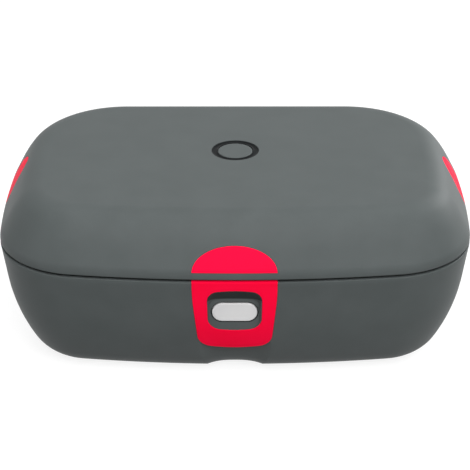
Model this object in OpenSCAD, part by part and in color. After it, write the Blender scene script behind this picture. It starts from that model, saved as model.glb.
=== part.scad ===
// Electric lunch box: a heated base with a lift-out dish, a hinged lid with a
// round power button, and a push-to-open latch in the middle of the front.
// Millimetres. +Z is up, the front faces -Y, the origin lies on the ground
// under the middle of the box.

/* [Body] */
// Width across the widest part of the sides
body_w = 275; // [262:1:300]
// Depth from the front bulge to the flat back
body_d = 190; // [184:1:206]
// Height from the ground to the top of the lid
body_h = 106; // [100:1:116]
// Height of the middle of the joint line between base and lid
seam_z = 73.35; // [70:0.05:78]
// Open joint between base and lid
seam_gap = 1.7; // [0.8:0.1:2.2]
// Wall thickness of both outer shells
wall = 2.4; // [2:0.1:2.8]
// Radius of the gentle bulge of the front, in plan
front_bulge_r = 692; // [560:1:900]
// Radius of the gentle bulge of each side, in plan
side_bulge_r = 604; // [500:1:800]
// Radius of the two front corners, in plan
front_corner_r = 51; // [48:1:56]
// Radius of the two back corners, in plan
back_corner_r = 68; // [62:1:74]

/* [Lower shell] */
// Inward lean of the base wall below the joint line, in degrees
base_lean = 7.7; // [6:0.1:9]
// Radius of the long curve under the straight wall
waist_r = 109.6; // [95:0.1:115]
// Lean where the long curve turns into the heel, in degrees
heel_lean = 28.8; // [26:0.1:31]
// Radius of the heel that runs into the flat bottom
heel_r = 24.6; // [20:0.1:26]
// Height that the rubber feet stand out below the bottom
foot_proud = 0.9; // [0.6:0.1:2]
// Diameter of a rubber foot
foot_d = 14; // [10:0.5:18]

/* [Lid shell] */
// Upright band at the lower edge of the lid
lid_rim_h = 0.8; // [0.4:0.1:1.2]
// Radius where the upright band turns into the sloping wall
brow_r = 12; // [9:0.1:13]
// Lean of the sloping lid wall, in degrees
lid_lean = 27.8; // [25:0.1:30]
// Radius of the first stretch of the shoulder
shoulder_r = 62; // [45:1:68]
// Lean where the shoulder turns into the crown, in degrees
shoulder_lean = 38.6; // [36:0.1:41]
// Radius of the crown that runs into the flat top
crown_r = 17.8; // [15:0.1:20]

/* [Red accents] */
// Width of the half-round accent on the lid's front
accent_w = 47.4; // [40:0.2:54]
// Rise of the front accent above the lid's rim band
accent_rise = 13.5; // [10:0.1:15]
// Height of the plain band between the joint line and an accent
accent_z = 4.9; // [3:0.1:6]
// Thickness of the accent skins on the lid
accent_t = 1.2; // [0.8:0.1:1.6]
// Width of the accents on the lid's sides
side_accent_w = 36; // [30:0.5:44]
// Rise of the side accents above the lid's rim band
side_accent_rise = 22; // [18:0.5:23]
// Distance of the side accents behind the middle of the box
side_accent_y = 6.5; // [-10:0.5:20]
// Width of the latch frame at the joint line
frame_top_w = 47.6; // [44:0.2:52]
// Height above which the latch frame's sides are upright
frame_knee_z = 62; // [58:0.5:66]
// Width of the latch frame at its foot, before the corners are rounded
frame_foot_w = 41; // [38:0.2:44]
// Height of the latch frame's lower edge in the middle, before it is rounded
frame_foot_z = 24; // [22:0.2:26]
// Rise of the lower edge from the middle to the corners
frame_foot_bow = 2.3; // [0.5:0.1:3]
// Radius of the latch frame's lower corners
frame_corner_r = 9; // [6:0.5:10]

/* [Latch] */
// Width of the button
button_w = 25.4; // [22:0.2:27]
// Height of the button
button_h = 11.5; // [10:0.1:13]
// Height of the middle of the button above the ground
button_z = 50.8; // [49:0.1:53]
// Width of the recess around the button
recess_w = 30.8; // [29:0.2:33]
// Height of the recess around the button, with its bowed edges
recess_h = 28.2; // [26:0.2:30]
// Height of the middle of the recess above the ground
recess_z = 52.8; // [52:0.1:54]
// Radius of the recess's upper corners
recess_top_r = 6.5; // [5:0.5:9]
// Radius of the recess's lower corners
recess_foot_r = 8; // [6:0.5:10]
// Height of the shaded slope between the recess's upper edge and its floor
recess_slope = 6.2; // [3:0.1:8]
// Travel of the button into the box
latch_travel = 2.4; // [2:0.1:2.8]
// Depth by which the hook catches under the slider
hook_catch = 1.4; // [1:0.1:1.6]
// Width of the hook's tongue
tongue_w = 22; // [16:0.5:24]
// Depth of the grip hollow under the latch frame
scoop_depth = 4.5; // [3:0.1:5]
// Width of the grip hollow where it meets the latch frame
scoop_top_w = 41.6; // [38:0.2:44]
// Width of the grip hollow at the bottom of the box
scoop_foot_w = 29; // [24:0.2:34]

/* [Dish and heater] */
// Room at each side of the heater tray, for the board and the leads
side_room = 44.5; // [43:0.5:48]
// Room in front of and behind the heater tray, for the latch and the inlet
end_room = 36; // [35:0.5:39]
// Shift of the tray towards the front
tray_shift = 3; // [2:0.5:4]
// Inside corner radius of the heater tray
tray_r = 30; // [24:1:34]
// Wall thickness of the heater tray
tray_t = 1.5; // [1.2:0.1:2]
// Inside depth of the dish
dish_depth = 42; // [36:0.5:44]
// Sheet thickness of the dish
dish_t = 0.8; // [0.6:0.1:1]
// Gap between the dish and the tray
dish_gap = 0.4; // [0.3:0.05:0.6]
// Thickness of the insulation around the tray
jacket_t = 5; // [3:0.5:5]

/* [Power button] */
// Outer diameter of the light ring on the lid
ring_d = 28.2; // [26:0.1:32]
// Inner diameter of the light ring
ring_bore = 21.2; // [19:0.1:22]
// Distance of the light ring behind the middle of the box
ring_y = 6.5; // [0:0.5:12]
// Travel of the power button
power_travel = 0.8; // [0.5:0.1:1]

/* [Hinge] */
// Distance of each hinge from the middle of the box
hinge_x = 55; // [48:1:60]
// Distance of the hinge axis behind the flat back
hinge_out = 2; // [1.6:0.1:2.4]
// Radius of the hinge knuckles
knuckle_r = 3.6; // [3.2:0.1:4]
// Radius of the hinge pins
pin_r = 1.5; // [1.2:0.1:1.7]
// Width of the lid's knuckle
knuckle_w = 16; // [12:1:20]

/* [Hidden] */

$fa = 4;
$fs = 0.5;

// Clearances and fits
fit = 0.3; // between pieces that move past each other
line = 0.1; // between two fixed pieces that meet edge to edge
pin_play = 0.05; // radial play of a hinge pin in the lid's knuckle
eps = 0.01;

// Colours
shell_c = [0.31, 0.33, 0.33];
dark_c = [0.13, 0.14, 0.14];
red_c = [0.96, 0.05, 0.24];
pale_c = [0.81, 0.81, 0.81];
steel_c = [0.72, 0.73, 0.74];
alu_c = [0.62, 0.63, 0.64];
copper_c = [0.78, 0.46, 0.26];
felt_c = [0.86, 0.84, 0.78];
board_c = [0.07, 0.32, 0.17];

// ---- Plan outline: tangent arcs, mirrored about X = 0 ----
half_w = body_w / 2;
back_reach = hinge_out + knuckle_r; // the hinges stand out behind the flat back
front_at = -(body_d + back_reach) / 2;
back_at = front_at + body_d;
mid_y = (front_at + back_at) / 2;
front_c = [0, front_at + front_bulge_r];
side_c = [half_w - side_bulge_r, mid_y];

// Point at distance d0 from c0 and d1 from c1, on the right-hand side of c0 to c1
function meet(c0, d0, c1, d1) =
    let (v = c1 - c0, l = norm(v), a = (d0 * d0 - d1 * d1 + l * l) / (2 * l))
    let (h = sqrt(d0 * d0 - a * a))
    c0 + (a * v + h * [-v[1], v[0]]) / l;

front_corner_c = meet(front_c, front_bulge_r - front_corner_r, side_c, side_bulge_r - front_corner_r);
back_corner_y = back_at - back_corner_r;
back_corner_c = [
    side_c[0] + sqrt(pow(side_bulge_r - back_corner_r, 2) - pow(back_corner_y - mid_y, 2)),
    back_corner_y
];

function heading(v) = atan2(v[1], v[0]);
front_end = heading(front_corner_c - front_c);
corner_end = heading(front_corner_c - side_c);
side_end = heading(back_corner_c - side_c);

function arc(c, r, from, to, steps) =
    [for (k = [0 : steps - 1]) let (t = from + (to - from) * k / steps) c + r * [cos(t), sin(t)]];
front_steps = 6;
corner_steps = 15;
side_steps = 4;
function right_half(i) = concat(
    arc(front_c, front_bulge_r - i, -90, front_end, front_steps),
    arc(front_corner_c, front_corner_r - i, front_end, corner_end, corner_steps),
    arc(side_c, side_bulge_r - i, corner_end, side_end, side_steps),
    arc(back_corner_c, back_corner_r - i, side_end, 90, corner_steps),
    [[back_corner_c[0], back_at - i]]
);
// Outline of the box, moved inward by i
function outline(i) = let (h = right_half(i), n = len(h))
    concat(h, [for (k = [n - 1 : -1 : 1]) [-h[k][0], h[k][1]]]);

// ---- Wall profiles: rows of [inset, z] from top to bottom ----
base_top = seam_z - seam_gap / 2;
base_bottom = foot_proud;
lid_bottom = seam_z + seam_gap / 2;

// Direction along a wall that leans inward by a, and its inward normal; s is +1 going up, -1 going down
function along(a, s) = [sin(a), s * cos(a)];
function inward(a, s) = [cos(a), -s * sin(a)];
// Points of a wall arc from one lean to another, moved inward by t
function bend(start, r, from, to, s, t, steps) = [for (k = [1 : steps])
    let (a = from + (to - from) * k / steps)
    start + r * (inward(from, s) - inward(a, s)) + t * inward(a, s)];
function bend_end(start, r, from, to, s) = start + r * (inward(from, s) - inward(to, s));

base_line = (base_top - base_bottom - waist_r * (sin(heel_lean) - sin(base_lean))
    - heel_r * (1 - sin(heel_lean))) / cos(base_lean);
base_p0 = [0, base_top];
base_p1 = base_p0 + base_line * along(base_lean, -1);
base_p2 = bend_end(base_p1, waist_r, base_lean, heel_lean, -1);
function base_rows(t) = concat(
    [base_p0 + [t, 0], base_p1 + t * inward(base_lean, -1)],
    bend(base_p1, waist_r, base_lean, heel_lean, -1, t, 4),
    bend(base_p2, heel_r, heel_lean, 90, -1, t, 6)
);

lid_line = (body_h - lid_bottom - lid_rim_h - brow_r * sin(lid_lean)
    - shoulder_r * (sin(shoulder_lean) - sin(lid_lean)) - crown_r * (1 - sin(shoulder_lean)))
    / cos(lid_lean);
lid_p0 = [0, lid_bottom];
lid_p1 = lid_p0 + [0, lid_rim_h];
lid_p2 = bend_end(lid_p1, brow_r, 0, lid_lean, 1);
lid_p3 = lid_p2 + lid_line * along(lid_lean, 1);
lid_p4 = bend_end(lid_p3, shoulder_r, lid_lean, shoulder_lean, 1);
function lid_rows_up(t) = concat(
    [lid_p0 + [t, 0], lid_p1 + [t, 0]],
    bend(lid_p1, brow_r, 0, lid_lean, 1, t, 3),
    [lid_p3 + t * inward(lid_lean, 1)],
    bend(lid_p3, shoulder_r, lid_lean, shoulder_lean, 1, t, 2),
    bend(lid_p4, crown_r, shoulder_lean, 90, 1, t, 6)
);
function reversed(v) = [for (k = [len(v) - 1 : -1 : 0]) v[k]];
function lid_rows(t) = reversed(lid_rows_up(t));

// Rows with the open end carried on past the joint line
function opened_up(rows, d) = concat([rows[0] + (rows[0] - rows[1]) * d / (rows[0][1] - rows[1][1])],
    [for (k = [1 : len(rows) - 1]) rows[k]]);
function opened_down(rows, d) = reversed(opened_up(reversed(rows), -d));

// Inset of an outer wall at a height
function base_inset(z) = lookup(z, [for (q = base_rows(0)) [q[1], q[0]]]);
function lid_inset(z) = lookup(z, [for (q = lid_rows_up(0)) [q[1], q[0]]]);
function front_y(z) = front_at + base_inset(z);

// ---- Solids from rings of points ----
module skin(rings) {
    n = len(rings[0]);
    m = len(rings);
    sides = [for (j = [0 : m - 2]) for (k = [0 : n - 1]) let (a = j * n + k, b = j * n + (k + 1) % n)
        each [[a, b, b + n], [a, b + n, a + n]]];
    polyhedron(
        points = [for (r = rings) each r],
        faces = concat(sides, [[for (k = [n - 1 : -1 : 0]) k]], [[for (k = [0 : n - 1]) (m - 1) * n + k]])
    );
}

module loft(rows) {
    skin([for (q = rows) [for (p = outline(q[0])) [p[0], p[1], q[1]]]]);
}

// The part of such a solid behind the middle of the front
mid_points = 3; // points of the front's arc on each side of the middle
block_reach = 45;
module front_block(rows) {
    skin([for (q = rows) let (h = right_half(q[0]), x = h[mid_points][0]) concat(
        [for (k = [mid_points : -1 : 1]) [-h[k][0], h[k][1], q[1]]],
        [for (k = [0 : mid_points]) [h[k][0], h[k][1], q[1]]],
        [[x, front_at + block_reach, q[1]], [-x, front_at + block_reach, q[1]]]
    )]);
}

// The part of such a solid behind the right side (s = 1) or the left side (s = -1)
module side_block(rows, s) {
    first = front_steps + corner_steps;
    x = half_w - block_reach;
    skin([for (q = rows) let (h = right_half(q[0]))
        let (ring = [for (k = [0 : side_steps + 2]) k <= side_steps ? h[first + k]
            : [x, k == side_steps + 1 ? h[first + side_steps][1] : h[first][1]]])
        [for (k = [0 : side_steps + 2]) let (p = ring[s > 0 ? k : side_steps + 2 - k])
            [s * p[0], p[1], q[1]]]]);
}

// Round tube along a path
function unit(v) = v / norm(v);
module tube(path, r, sides, ref) {
    n = len(path);
    skin([for (k = [0 : n - 1])
        let (t = unit(path[min(k + 1, n - 1)] - path[max(k - 1, 0)]))
        let (u = unit(cross(t, ref)), v = cross(t, u))
        [for (a = [0 : sides - 1]) path[k] + r * (cos(360 * a / sides) * u - sin(360 * a / sides) * v)]]);
}

// Corner cutting, which turns a route's chosen points into a smooth curve with the same ends
function softened(p) = concat([p[0]],
    [for (k = [0 : len(p) - 2]) each [0.75 * p[k] + 0.25 * p[k + 1], 0.25 * p[k] + 0.75 * p[k + 1]]],
    [p[len(p) - 1]]);

module wire(points, d) {
    tube(softened(points), d / 2, 8, [0.36, 0.48, 0.8]);
}

// Polygon with each corner rounded to its own radius
function rounded(p, r, steps = 6) = [for (k = [0 : len(p) - 1])
    let (n = len(p), u = unit(p[(k + n - 1) % n] - p[k]), v = unit(p[(k + 1) % n] - p[k]))
    let (half = acos(u * v) / 2, c = p[k] + unit(u + v) * r[k] / sin(half))
    let (turn = (u[0] * v[1] - u[1] * v[0] < 0 ? 1 : -1) * (180 - 2 * half))
    let (from = heading(p[k] + u * r[k] / tan(half) - c))
    each r[k] <= 0 ? [p[k]] : [for (j = [0 : steps])
        c + r[k] * [cos(from + turn * j / steps), sin(from + turn * j / steps)]]];

// Rectangle with round corners, centred
module round_rect(w, d, r) {
    square([w - 2 * r, d], center = true);
    square([w, d - 2 * r], center = true);
    for (sx = [-1, 1]) for (sy = [-1, 1])
        translate([sx * (w / 2 - r), sy * (d / 2 - r)]) circle(r = r);
}

module pad(w, d, r, z0, z1) {
    translate([0, 0, z0]) linear_extrude(z1 - z0) round_rect(w, d, r);
}

// Rounded plate with its middle on the tray's middle
module tray_pad(grow, z0, z1) {
    translate([0, tray_y, 0]) pad(tray_w + 2 * grow, tray_d + 2 * grow, tray_r + grow, z0, z1);
}

// Polygon of [x, z] points as a prism from y0 back to y1
module front_prism(points, y0, y1) {
    translate([0, y1, 0]) rotate([90, 0, 0]) linear_extrude(y1 - y0) polygon(points);
}

// 2D children drawn in [y, z], as a prism of width w about x
module cross_prism(x, w) {
    translate([x - w / 2, 0, 0]) rotate([90, 0, 90]) linear_extrude(w) children();
}

module y_cylinder(r, x, z, y0, y1) {
    translate([x, y0, z]) rotate([-90, 0, 0]) cylinder(r = r, h = y1 - y0);
}

module block(x0, x1, y0, y1, z0, z1) {
    translate([x0, y0, z0]) cube([x1 - x0, y1 - y0, z1 - z0]);
}

tray_w = body_w - 2 * side_room;
tray_d = body_d - 2 * end_room;
tray_y = mid_y - tray_shift;
ring_at = mid_y + ring_y;

// ---- Levels inside the box ----
floor_z = base_bottom + wall; // top of the base's floor
rim_t = 2.5;
rim_z = base_top - 1.5; // top of the rim frame's plate
rim_low = rim_z - rim_t;
rim_inset = wall + 0.8;
lip_t = 1.8;
lip_z = lid_bottom + 2;
tray_flange = 6;
tray_top = rim_z + tray_t;
dish_flange = 5;
dish_top = tray_top + dish_t;
dish_low = dish_top - dish_depth - dish_t;
tray_in_z = dish_low - fit;
tray_low = tray_in_z - tray_t;
element_t = 1.5;
element_low = tray_low - element_t;
clamp_t = 1;
clamp_low = element_low - clamp_t;
pad_t = 8;
pad_low = clamp_low - pad_t;
liner_z = lip_z + fit + 0.5; // underside of the lid's liner
liner_t = 2;
liner_top = liner_z + liner_t;
lid_in_z = body_h - wall; // underside of the lid's flat top

// ---- Outer base ----
tower_r = 4;
tower_x = half_w - 33.5;
tower_front_y = front_at + 29;
tower_back_y = back_at - 33;
tower_spots = [for (s = [-1, 1]) each [[s * tower_x, tower_front_y], [s * tower_x, tower_back_y]]];
screw_r = 1.5;
screw_head_r = 3;
screw_head_h = 1.8;
screw_len = 12;
foot_r = foot_d / 2;
foot_sink = 0.8;
foot_x = half_w - 55.5;
foot_y = body_d / 2 - 55;
foot_spots = [for (x = [-foot_x, foot_x]) for (y = [-foot_y, foot_y]) [x, mid_y + y]];
post_r = 4;
post_x = tray_w / 2 - 33;
post_y = tray_d / 2 - 25;

// Hinge
hinge_y = back_at + hinge_out;
hinge_z = seam_z;
side_knuckle_w = 8;
arm_len = 10; // height of a knuckle's arm, which ends inside the wall
pin_len = knuckle_w + 2 * side_knuckle_w + 2 * fit;

module knuckle_profile(side) {
    translate([hinge_y, hinge_z]) circle(r = knuckle_r);
    end_z = hinge_z + side * arm_len;
    polygon([
        [hinge_y + knuckle_r, hinge_z],
        [back_at - (side > 0 ? lid_inset(end_z) : base_inset(end_z)) - wall / 2, end_z],
        [back_at - wall / 2, hinge_z + side * (seam_gap / 2 + line)],
        [hinge_y, hinge_z + side * (seam_gap / 2 + line)]
    ]);
}

module base_knuckles() {
    for (s = [-1, 1]) for (e = [-1, 1])
        cross_prism(s * hinge_x + e * (knuckle_w / 2 + fit + side_knuckle_w / 2), side_knuckle_w)
            knuckle_profile(-1);
}

module lid_knuckles() {
    for (s = [-1, 1]) cross_prism(s * hinge_x, knuckle_w) knuckle_profile(1);
}

module hinge_rods(r, w) {
    for (s = [-1, 1]) cross_prism(s * hinge_x, w) translate([hinge_y, hinge_z]) circle(r = r);
}

// Outlines on the front, as [x, z]
frame_knee_r = 150; // radius of the bend where the frame's sides turn upright
frame_bow_r = 80; // radius in the middle of its lower edge
function mirrored(p) = concat(p, [for (k = [len(p) - 1 : -1 : 0]) if (p[k][0] > 0) [-p[k][0], p[k][1]]]);
function frame_outline(grow) = rounded(mirrored([
    [0, frame_foot_z - grow],
    [frame_foot_w / 2 + grow, frame_foot_z + frame_foot_bow - grow],
    [frame_top_w / 2 + grow, frame_knee_z],
    [frame_top_w / 2 + grow, base_top + grow]
]), [frame_bow_r, frame_corner_r + grow, frame_knee_r, 0, 0, frame_knee_r, frame_corner_r + grow]);
recess_low = recess_z - recess_h / 2;
recess_high = recess_z + recess_h / 2;
recess_bow = 1.4; // rise of the recess's bowed edges from the corners to the middle
recess_bow_r = 60; // radius in the middle of those edges
recess_foot_in = 0.4; // how far the recess narrows to each side at its foot
function recess_outline(grow) = rounded([
    [0, recess_low - grow],
    [recess_w / 2 - recess_foot_in + grow, recess_low + recess_bow - grow],
    [recess_w / 2 + grow, recess_high - recess_bow + grow],
    [0, recess_high + grow],
    [-recess_w / 2 - grow, recess_high - recess_bow + grow],
    [recess_foot_in - recess_w / 2 - grow, recess_low + recess_bow - grow]
], [recess_bow_r, recess_foot_r + grow, recess_top_r + grow,
    recess_bow_r, recess_top_r + grow, recess_foot_r + grow], 5);
function button_outline(grow) = let (w = button_w / 2 + grow, h = button_h / 2 + grow)
    rounded([[-w, button_z - h], [w, button_z - h], [w, button_z + h], [-w, button_z + h]],
        [h - eps, h - eps, h - eps, h - eps]);
front_out = front_at - 3;

// Grip hollow under the latch frame: a smooth groove that also reaches up behind the frame's foot
scoop_rise = 4.8; // how far the groove reaches above the frame's lower edge
scoop_overlap = 6.8; // how far its backing does
scoop_wall = wall + 1.2; // thickness of the backing
scoop_fade = 2.6; // how flat the groove is across its middle
scoop_over = 1.06; // the groove's surface is carried on past the body's, so the two cross cleanly
scoop_top = frame_foot_z + scoop_rise;
scoop_back_top = frame_foot_z + scoop_overlap;
function scoop_share(u) = 1 - pow(abs(u), scoop_fade);
function scoop_half(z) = let (h = min(1, max(0, z / scoop_top)))
    (scoop_foot_w + (scoop_top_w - scoop_foot_w) * sin(90 * h)) / 2;
function scoop_ring(z, level, extra) = let (
    w = scoop_half(z) + extra,
    r = front_bulge_r - base_inset(z)
) concat(
    [for (k = [-8 : 8]) let (u = scoop_over * k / 8, x = w * u)
        [x, front_c[1] - sqrt(r * r - x * x) + scoop_depth * scoop_share(u) + extra, level]],
    [[scoop_over * w, front_out, level], [-scoop_over * w, front_out, level]]
);
module scoop(top, extra) {
    levels = concat([for (q = reversed(base_rows(0))) if (q[1] < top - 0.5) q[1]], [top]);
    skin(concat([scoop_ring(base_bottom, -1, extra)],
        [for (z = levels) scoop_ring(z, z, extra)]));
}

// Power inlet
inlet_z = 38;
inlet_w = 27;
inlet_h = 20;
inlet_flange_w = 36;
inlet_flange_h = 25;
inlet_flange_t = 2;
inlet_r = 3;
pocket_gap = 1.5;
pocket_y = back_at - 9.5;
inlet_depth = 15;
inlet_back_t = 3;
inlet_body_y = pocket_y + inlet_flange_t - inlet_depth - inlet_back_t;

module back_prism(w, h, r, z, y0, y1) {
    translate([0, y1, z]) rotate([90, 0, 0]) linear_extrude(y1 - y0) round_rect(w, h, r);
}

// Board uprights
board_x = -half_w + 19;
board_len = 70;
board_h = 42;
board_t = 1.6;
board_low = 14;
upright_t = 5;
upright_y = 28;

module base_shell() color(shell_c) difference() {
    union() {
        intersection() {
            loft(base_rows(0));
            union() {
                difference() {
                    block(-half_w - 1, half_w + 1, front_at - 1, back_at + 1, 0, base_top + 1);
                    loft(opened_up(base_rows(wall), 1));
                }
                // backing of the grip hollow
                scoop(scoop_back_top, scoop_wall);
                // backing of the inlet pocket
                back_prism(inlet_flange_w + 2 * (pocket_gap + wall),
                    inlet_flange_h + 2 * (pocket_gap + wall), inlet_r + pocket_gap + wall,
                    inlet_z, pocket_y - wall, back_at + 1);
                // towers for the rim screws
                for (p = tower_spots) translate([p[0], p[1], 0]) cylinder(r = tower_r, h = rim_low);
                // posts under the insulation
                for (x = [-post_x, post_x]) for (y = [-post_y, post_y])
                    translate([x, tray_y + y, 0]) cylinder(r = post_r, h = pad_low);
                // uprights that carry the board
                for (y = [-upright_y, upright_y])
                    block(board_x, board_x + upright_t, y - 3, y + 3, 0, board_low + board_h);
            }
        }
        base_knuckles();
    }
    // opening for the latch frame, only as deep as its skin where the hollow's backing stands
    difference() {
        front_prism(frame_outline(line), front_out, front_at + 20);
        intersection() {
            front_block(base_rows(wall + 2 * fit));
            block(-half_w, half_w, front_at, 0, 0, scoop_back_top);
        }
    }
    scoop(scoop_top, 0);
    back_prism(inlet_flange_w + 2 * pocket_gap, inlet_flange_h + 2 * pocket_gap,
        inlet_r + pocket_gap, inlet_z, pocket_y, back_at + 5);
    back_prism(inlet_w + 2 * line, inlet_h + 2 * line, inlet_r, inlet_z, pocket_y - 10, back_at);
    for (p = tower_spots) translate([p[0], p[1], rim_low - screw_len])
        cylinder(r = screw_r, h = screw_len + 1);
    for (p = foot_spots) translate([p[0], p[1], 0])
        cylinder(r = foot_r + line, h = base_bottom + foot_sink);
    hinge_rods(pin_r, pin_len);
    hinge_rods(knuckle_r + fit + 0.2, knuckle_w + 2 * fit);
}

frame_flange = 2;
frame_flange_t = 1.2;
recess_wall = 0.8;
recess_hold = recess_low + recess_wall; // lower edge of the recess's inside
recess_floor_y = front_y(recess_hold) + line; // the floor runs out into the surface there
recess_floor_t = 2;
recess_flange = 1.5;
recess_flange_t = 1.2;
recess_back_y = recess_floor_y + recess_floor_t;

module latch_frame() color(red_c) difference() {
    union() {
        intersection() {
            front_prism(frame_outline(0), front_out, front_at + 20);
            front_block(base_rows(0));
        }
        // flange behind the shell's wall
        intersection() {
            front_prism(frame_outline(frame_flange), front_out, front_at + 20);
            front_block(base_rows(wall));
            block(-half_w, half_w, front_at, 0, scoop_back_top + fit, rim_low - fit);
        }
    }
    front_block(opened_up(base_rows(wall + frame_flange_t), 1));
    intersection() {
        union() {
            front_prism(recess_outline(recess_flange + line), front_out, front_at + 25);
            block(-half_w, half_w, front_at, 0, 0, scoop_back_top + fit);
            block(-half_w, half_w, front_at, 0, rim_low - fit, body_h);
        }
        front_block(opened_up(base_rows(wall), 1));
    }
    front_prism(recess_outline(line), front_out, front_at + 25);
}

// Inside of the recess at depth y: its upper edge comes down as a slope towards the floor
recess_rim_y = front_y(recess_high);
function recess_ring(y) = let (
    share = max(0, (y - recess_rim_y) / (recess_floor_y - recess_rim_y)),
    k = 1 - share * recess_slope / (recess_h - 2 * recess_wall)
) [for (p = recess_outline(-recess_wall)) [p[0], y, recess_hold + (p[1] - recess_hold) * k]];

module latch_recess() color(shell_c) difference() {
    union() {
        intersection() {
            front_prism(recess_outline(0), front_out, recess_back_y);
            front_block(base_rows(0));
        }
        // flange behind the latch frame
        intersection() {
            front_prism(recess_outline(recess_flange), recess_back_y - eps,
                recess_back_y + recess_flange_t);
            front_block(base_rows(wall));
        }
    }
    skin([recess_ring(front_out), recess_ring(recess_rim_y), recess_ring(recess_floor_y)]);
    front_prism(button_outline(fit), front_out, front_at + 25);
}

// Latch mechanism, from front to back
slider_t = 2.8;
slider_y = recess_back_y + recess_flange_t + fit;
slider_w = 34;
slider_top_t = 2.5;
slider_top_z = rim_low - fit - 2.4;
slider_low_z = slider_top_z - slider_top_t;
tongue_t = 2.2;
window_front = slider_y + slider_t;
tongue_y = window_front + latch_travel + 0.5;
window_rear = tongue_y + tongue_t + 0.4;
window_w = tongue_w + 2;
slider_rear = window_rear + 3.6;
seat_y = slider_rear + latch_travel + fit;
seat_t = 2;
rail_y = window_front + latch_travel + fit;
housing_wall = 2.4;
housing_low = button_z - 9;
spring_x = 10;
spring_r = 2.6;
spring_wire = 0.7;
spring_turns = 7;
spring_pilot_r = 1.7;
slider_foot_z = button_z - 7;

module latch_housing() color(dark_c) {
    x = slider_w / 2 + fit;
    for (s = [-1, 1]) {
        block(s > 0 ? x : -x - housing_wall, s > 0 ? x + housing_wall : -x,
            slider_y, seat_y + seat_t, housing_low, rim_low);
        // rails under and over the slider's edges
        block(s > 0 ? x - 2.4 : -x - eps, s > 0 ? x + eps : -x + 2.4,
            rail_y, seat_y, slider_low_z - fit - 2, slider_low_z - fit);
        block(s > 0 ? x - 2.4 : -x - eps, s > 0 ? x + eps : -x + 2.4,
            rail_y, seat_y, slider_top_z + fit, rim_low);
    }
    difference() {
        block(-x, x, seat_y, seat_y + seat_t, housing_low, rim_low);
        for (s = [-1, 1]) y_cylinder(1, s * spring_x, button_z, seat_y - 1, seat_y + seat_t + 1);
    }
}

coil_steps = 8;
function coil(r, turns, length) = [for (k = [0 : turns * coil_steps]) let (a = 360 * k / coil_steps)
    [r * cos(a), length * k / (turns * coil_steps), r * sin(a)]];

module latch_springs() color(steel_c)
    for (s = [-1, 1]) translate([s * spring_x, window_front + spring_wire / 2 + 0.02, button_z])
        tube(coil(spring_r - spring_wire / 2, spring_turns, seat_y - window_front - spring_wire - 0.04),
            spring_wire / 2, 6, [0, 1, 0]);

button_proud = 0.4; // height of the button's face over the recess's floor

module latch_button() color(pale_c)
    front_prism(button_outline(0), recess_floor_y - button_proud, slider_y);

module latch_slider() color(dark_c) {
    difference() {
        union() {
            block(-slider_w / 2, slider_w / 2, slider_y, window_front, slider_foot_z, slider_top_z);
            block(-slider_w / 2, slider_w / 2, slider_y, slider_rear, slider_low_z, slider_top_z);
        }
        block(-window_w / 2, window_w / 2, window_front, window_rear, slider_low_z - 1, slider_top_z + 1);
    }
    for (s = [-1, 1])
        y_cylinder(spring_pilot_r, s * spring_x, button_z, window_front - eps, window_front + 4);
}

// ---- Rim frame: closes the base around the dish ----
slot_w = tongue_w + 4;
slot_front = tongue_y - 1.6;
slot_rear = window_rear + 3;
contact_x = 40;
contact_y = back_at - 19;
contact_step = 5;
contact_count = 4;
contact_xs = [for (k = [0 : contact_count - 1]) contact_x + (k - (contact_count - 1) / 2) * contact_step];

module rim_frame() color(dark_c) difference() {
    union() {
        translate([0, 0, rim_low]) linear_extrude(rim_t) polygon(outline(rim_inset));
        difference() {
            translate([0, 0, rim_z - eps]) linear_extrude(lip_z - rim_z + eps) polygon(outline(rim_inset));
            translate([0, 0, rim_z - 1]) linear_extrude(lip_z) polygon(outline(rim_inset + lip_t));
        }
    }
    tray_pad(tray_t + line, rim_low - 1, rim_z + 1);
    block(-slot_w / 2, slot_w / 2, slot_front, slot_rear, rim_low - 1, rim_z + 1);
    for (x = contact_xs) translate([x, contact_y, rim_low - 1]) cylinder(r = 1.2, h = rim_t + 2);
    for (p = tower_spots) translate([p[0], p[1], rim_low - 1]) cylinder(r = screw_r, h = rim_t + 2);
}

slot_len = 3.6;
slot_t = 0.8;
module screw_cross() {
    for (a = [0, 90]) rotate([0, 0, a])
        block(-slot_len / 2, slot_len / 2, -slot_t / 2, slot_t / 2, slot_t, screw_head_h + 1);
}

module screws(spots, head_z, length) {
    for (p = spots) translate([p[0], p[1], head_z]) {
        difference() {
            cylinder(r = screw_head_r, h = screw_head_h);
            screw_cross();
        }
        translate([0, 0, -length]) cylinder(r = screw_r, h = length + eps);
    }
}

module rim_screws() color(steel_c) screws(tower_spots, rim_z, screw_len + rim_t - 1);

// ---- Dish and heater ----
stud_r = 1.5;
stud_x = tray_w / 2 - 23;
stud_y = tray_d / 2 - 19;
stud_spots = [for (x = [-stud_x, stud_x]) for (y = [-stud_y, stud_y]) [x, tray_y + y]];
stat_x = -35;
stat_r = 8;
fuse_x = 30;
fuse_r = 2;
fuse_len = 12;
sensor_spot = [0, tray_y + 22];

module heater_tray() color(alu_c) {
    difference() {
        union() {
            tray_pad(tray_t, tray_low, rim_z + eps);
            tray_pad(tray_t + tray_flange, rim_z, tray_top);
        }
        tray_pad(0, tray_in_z, tray_top + 1);
    }
    for (p = stud_spots) translate([p[0], p[1], clamp_low - 4])
        cylinder(r = stud_r, h = tray_low - clamp_low + 4 + eps);
}

module dish() color(steel_c) difference() {
    union() {
        tray_pad(-dish_gap, dish_low, tray_top + eps);
        tray_pad(dish_flange, tray_top, dish_top);
    }
    tray_pad(-dish_gap - dish_t, dish_low + dish_t, dish_top + 1);
}

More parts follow.
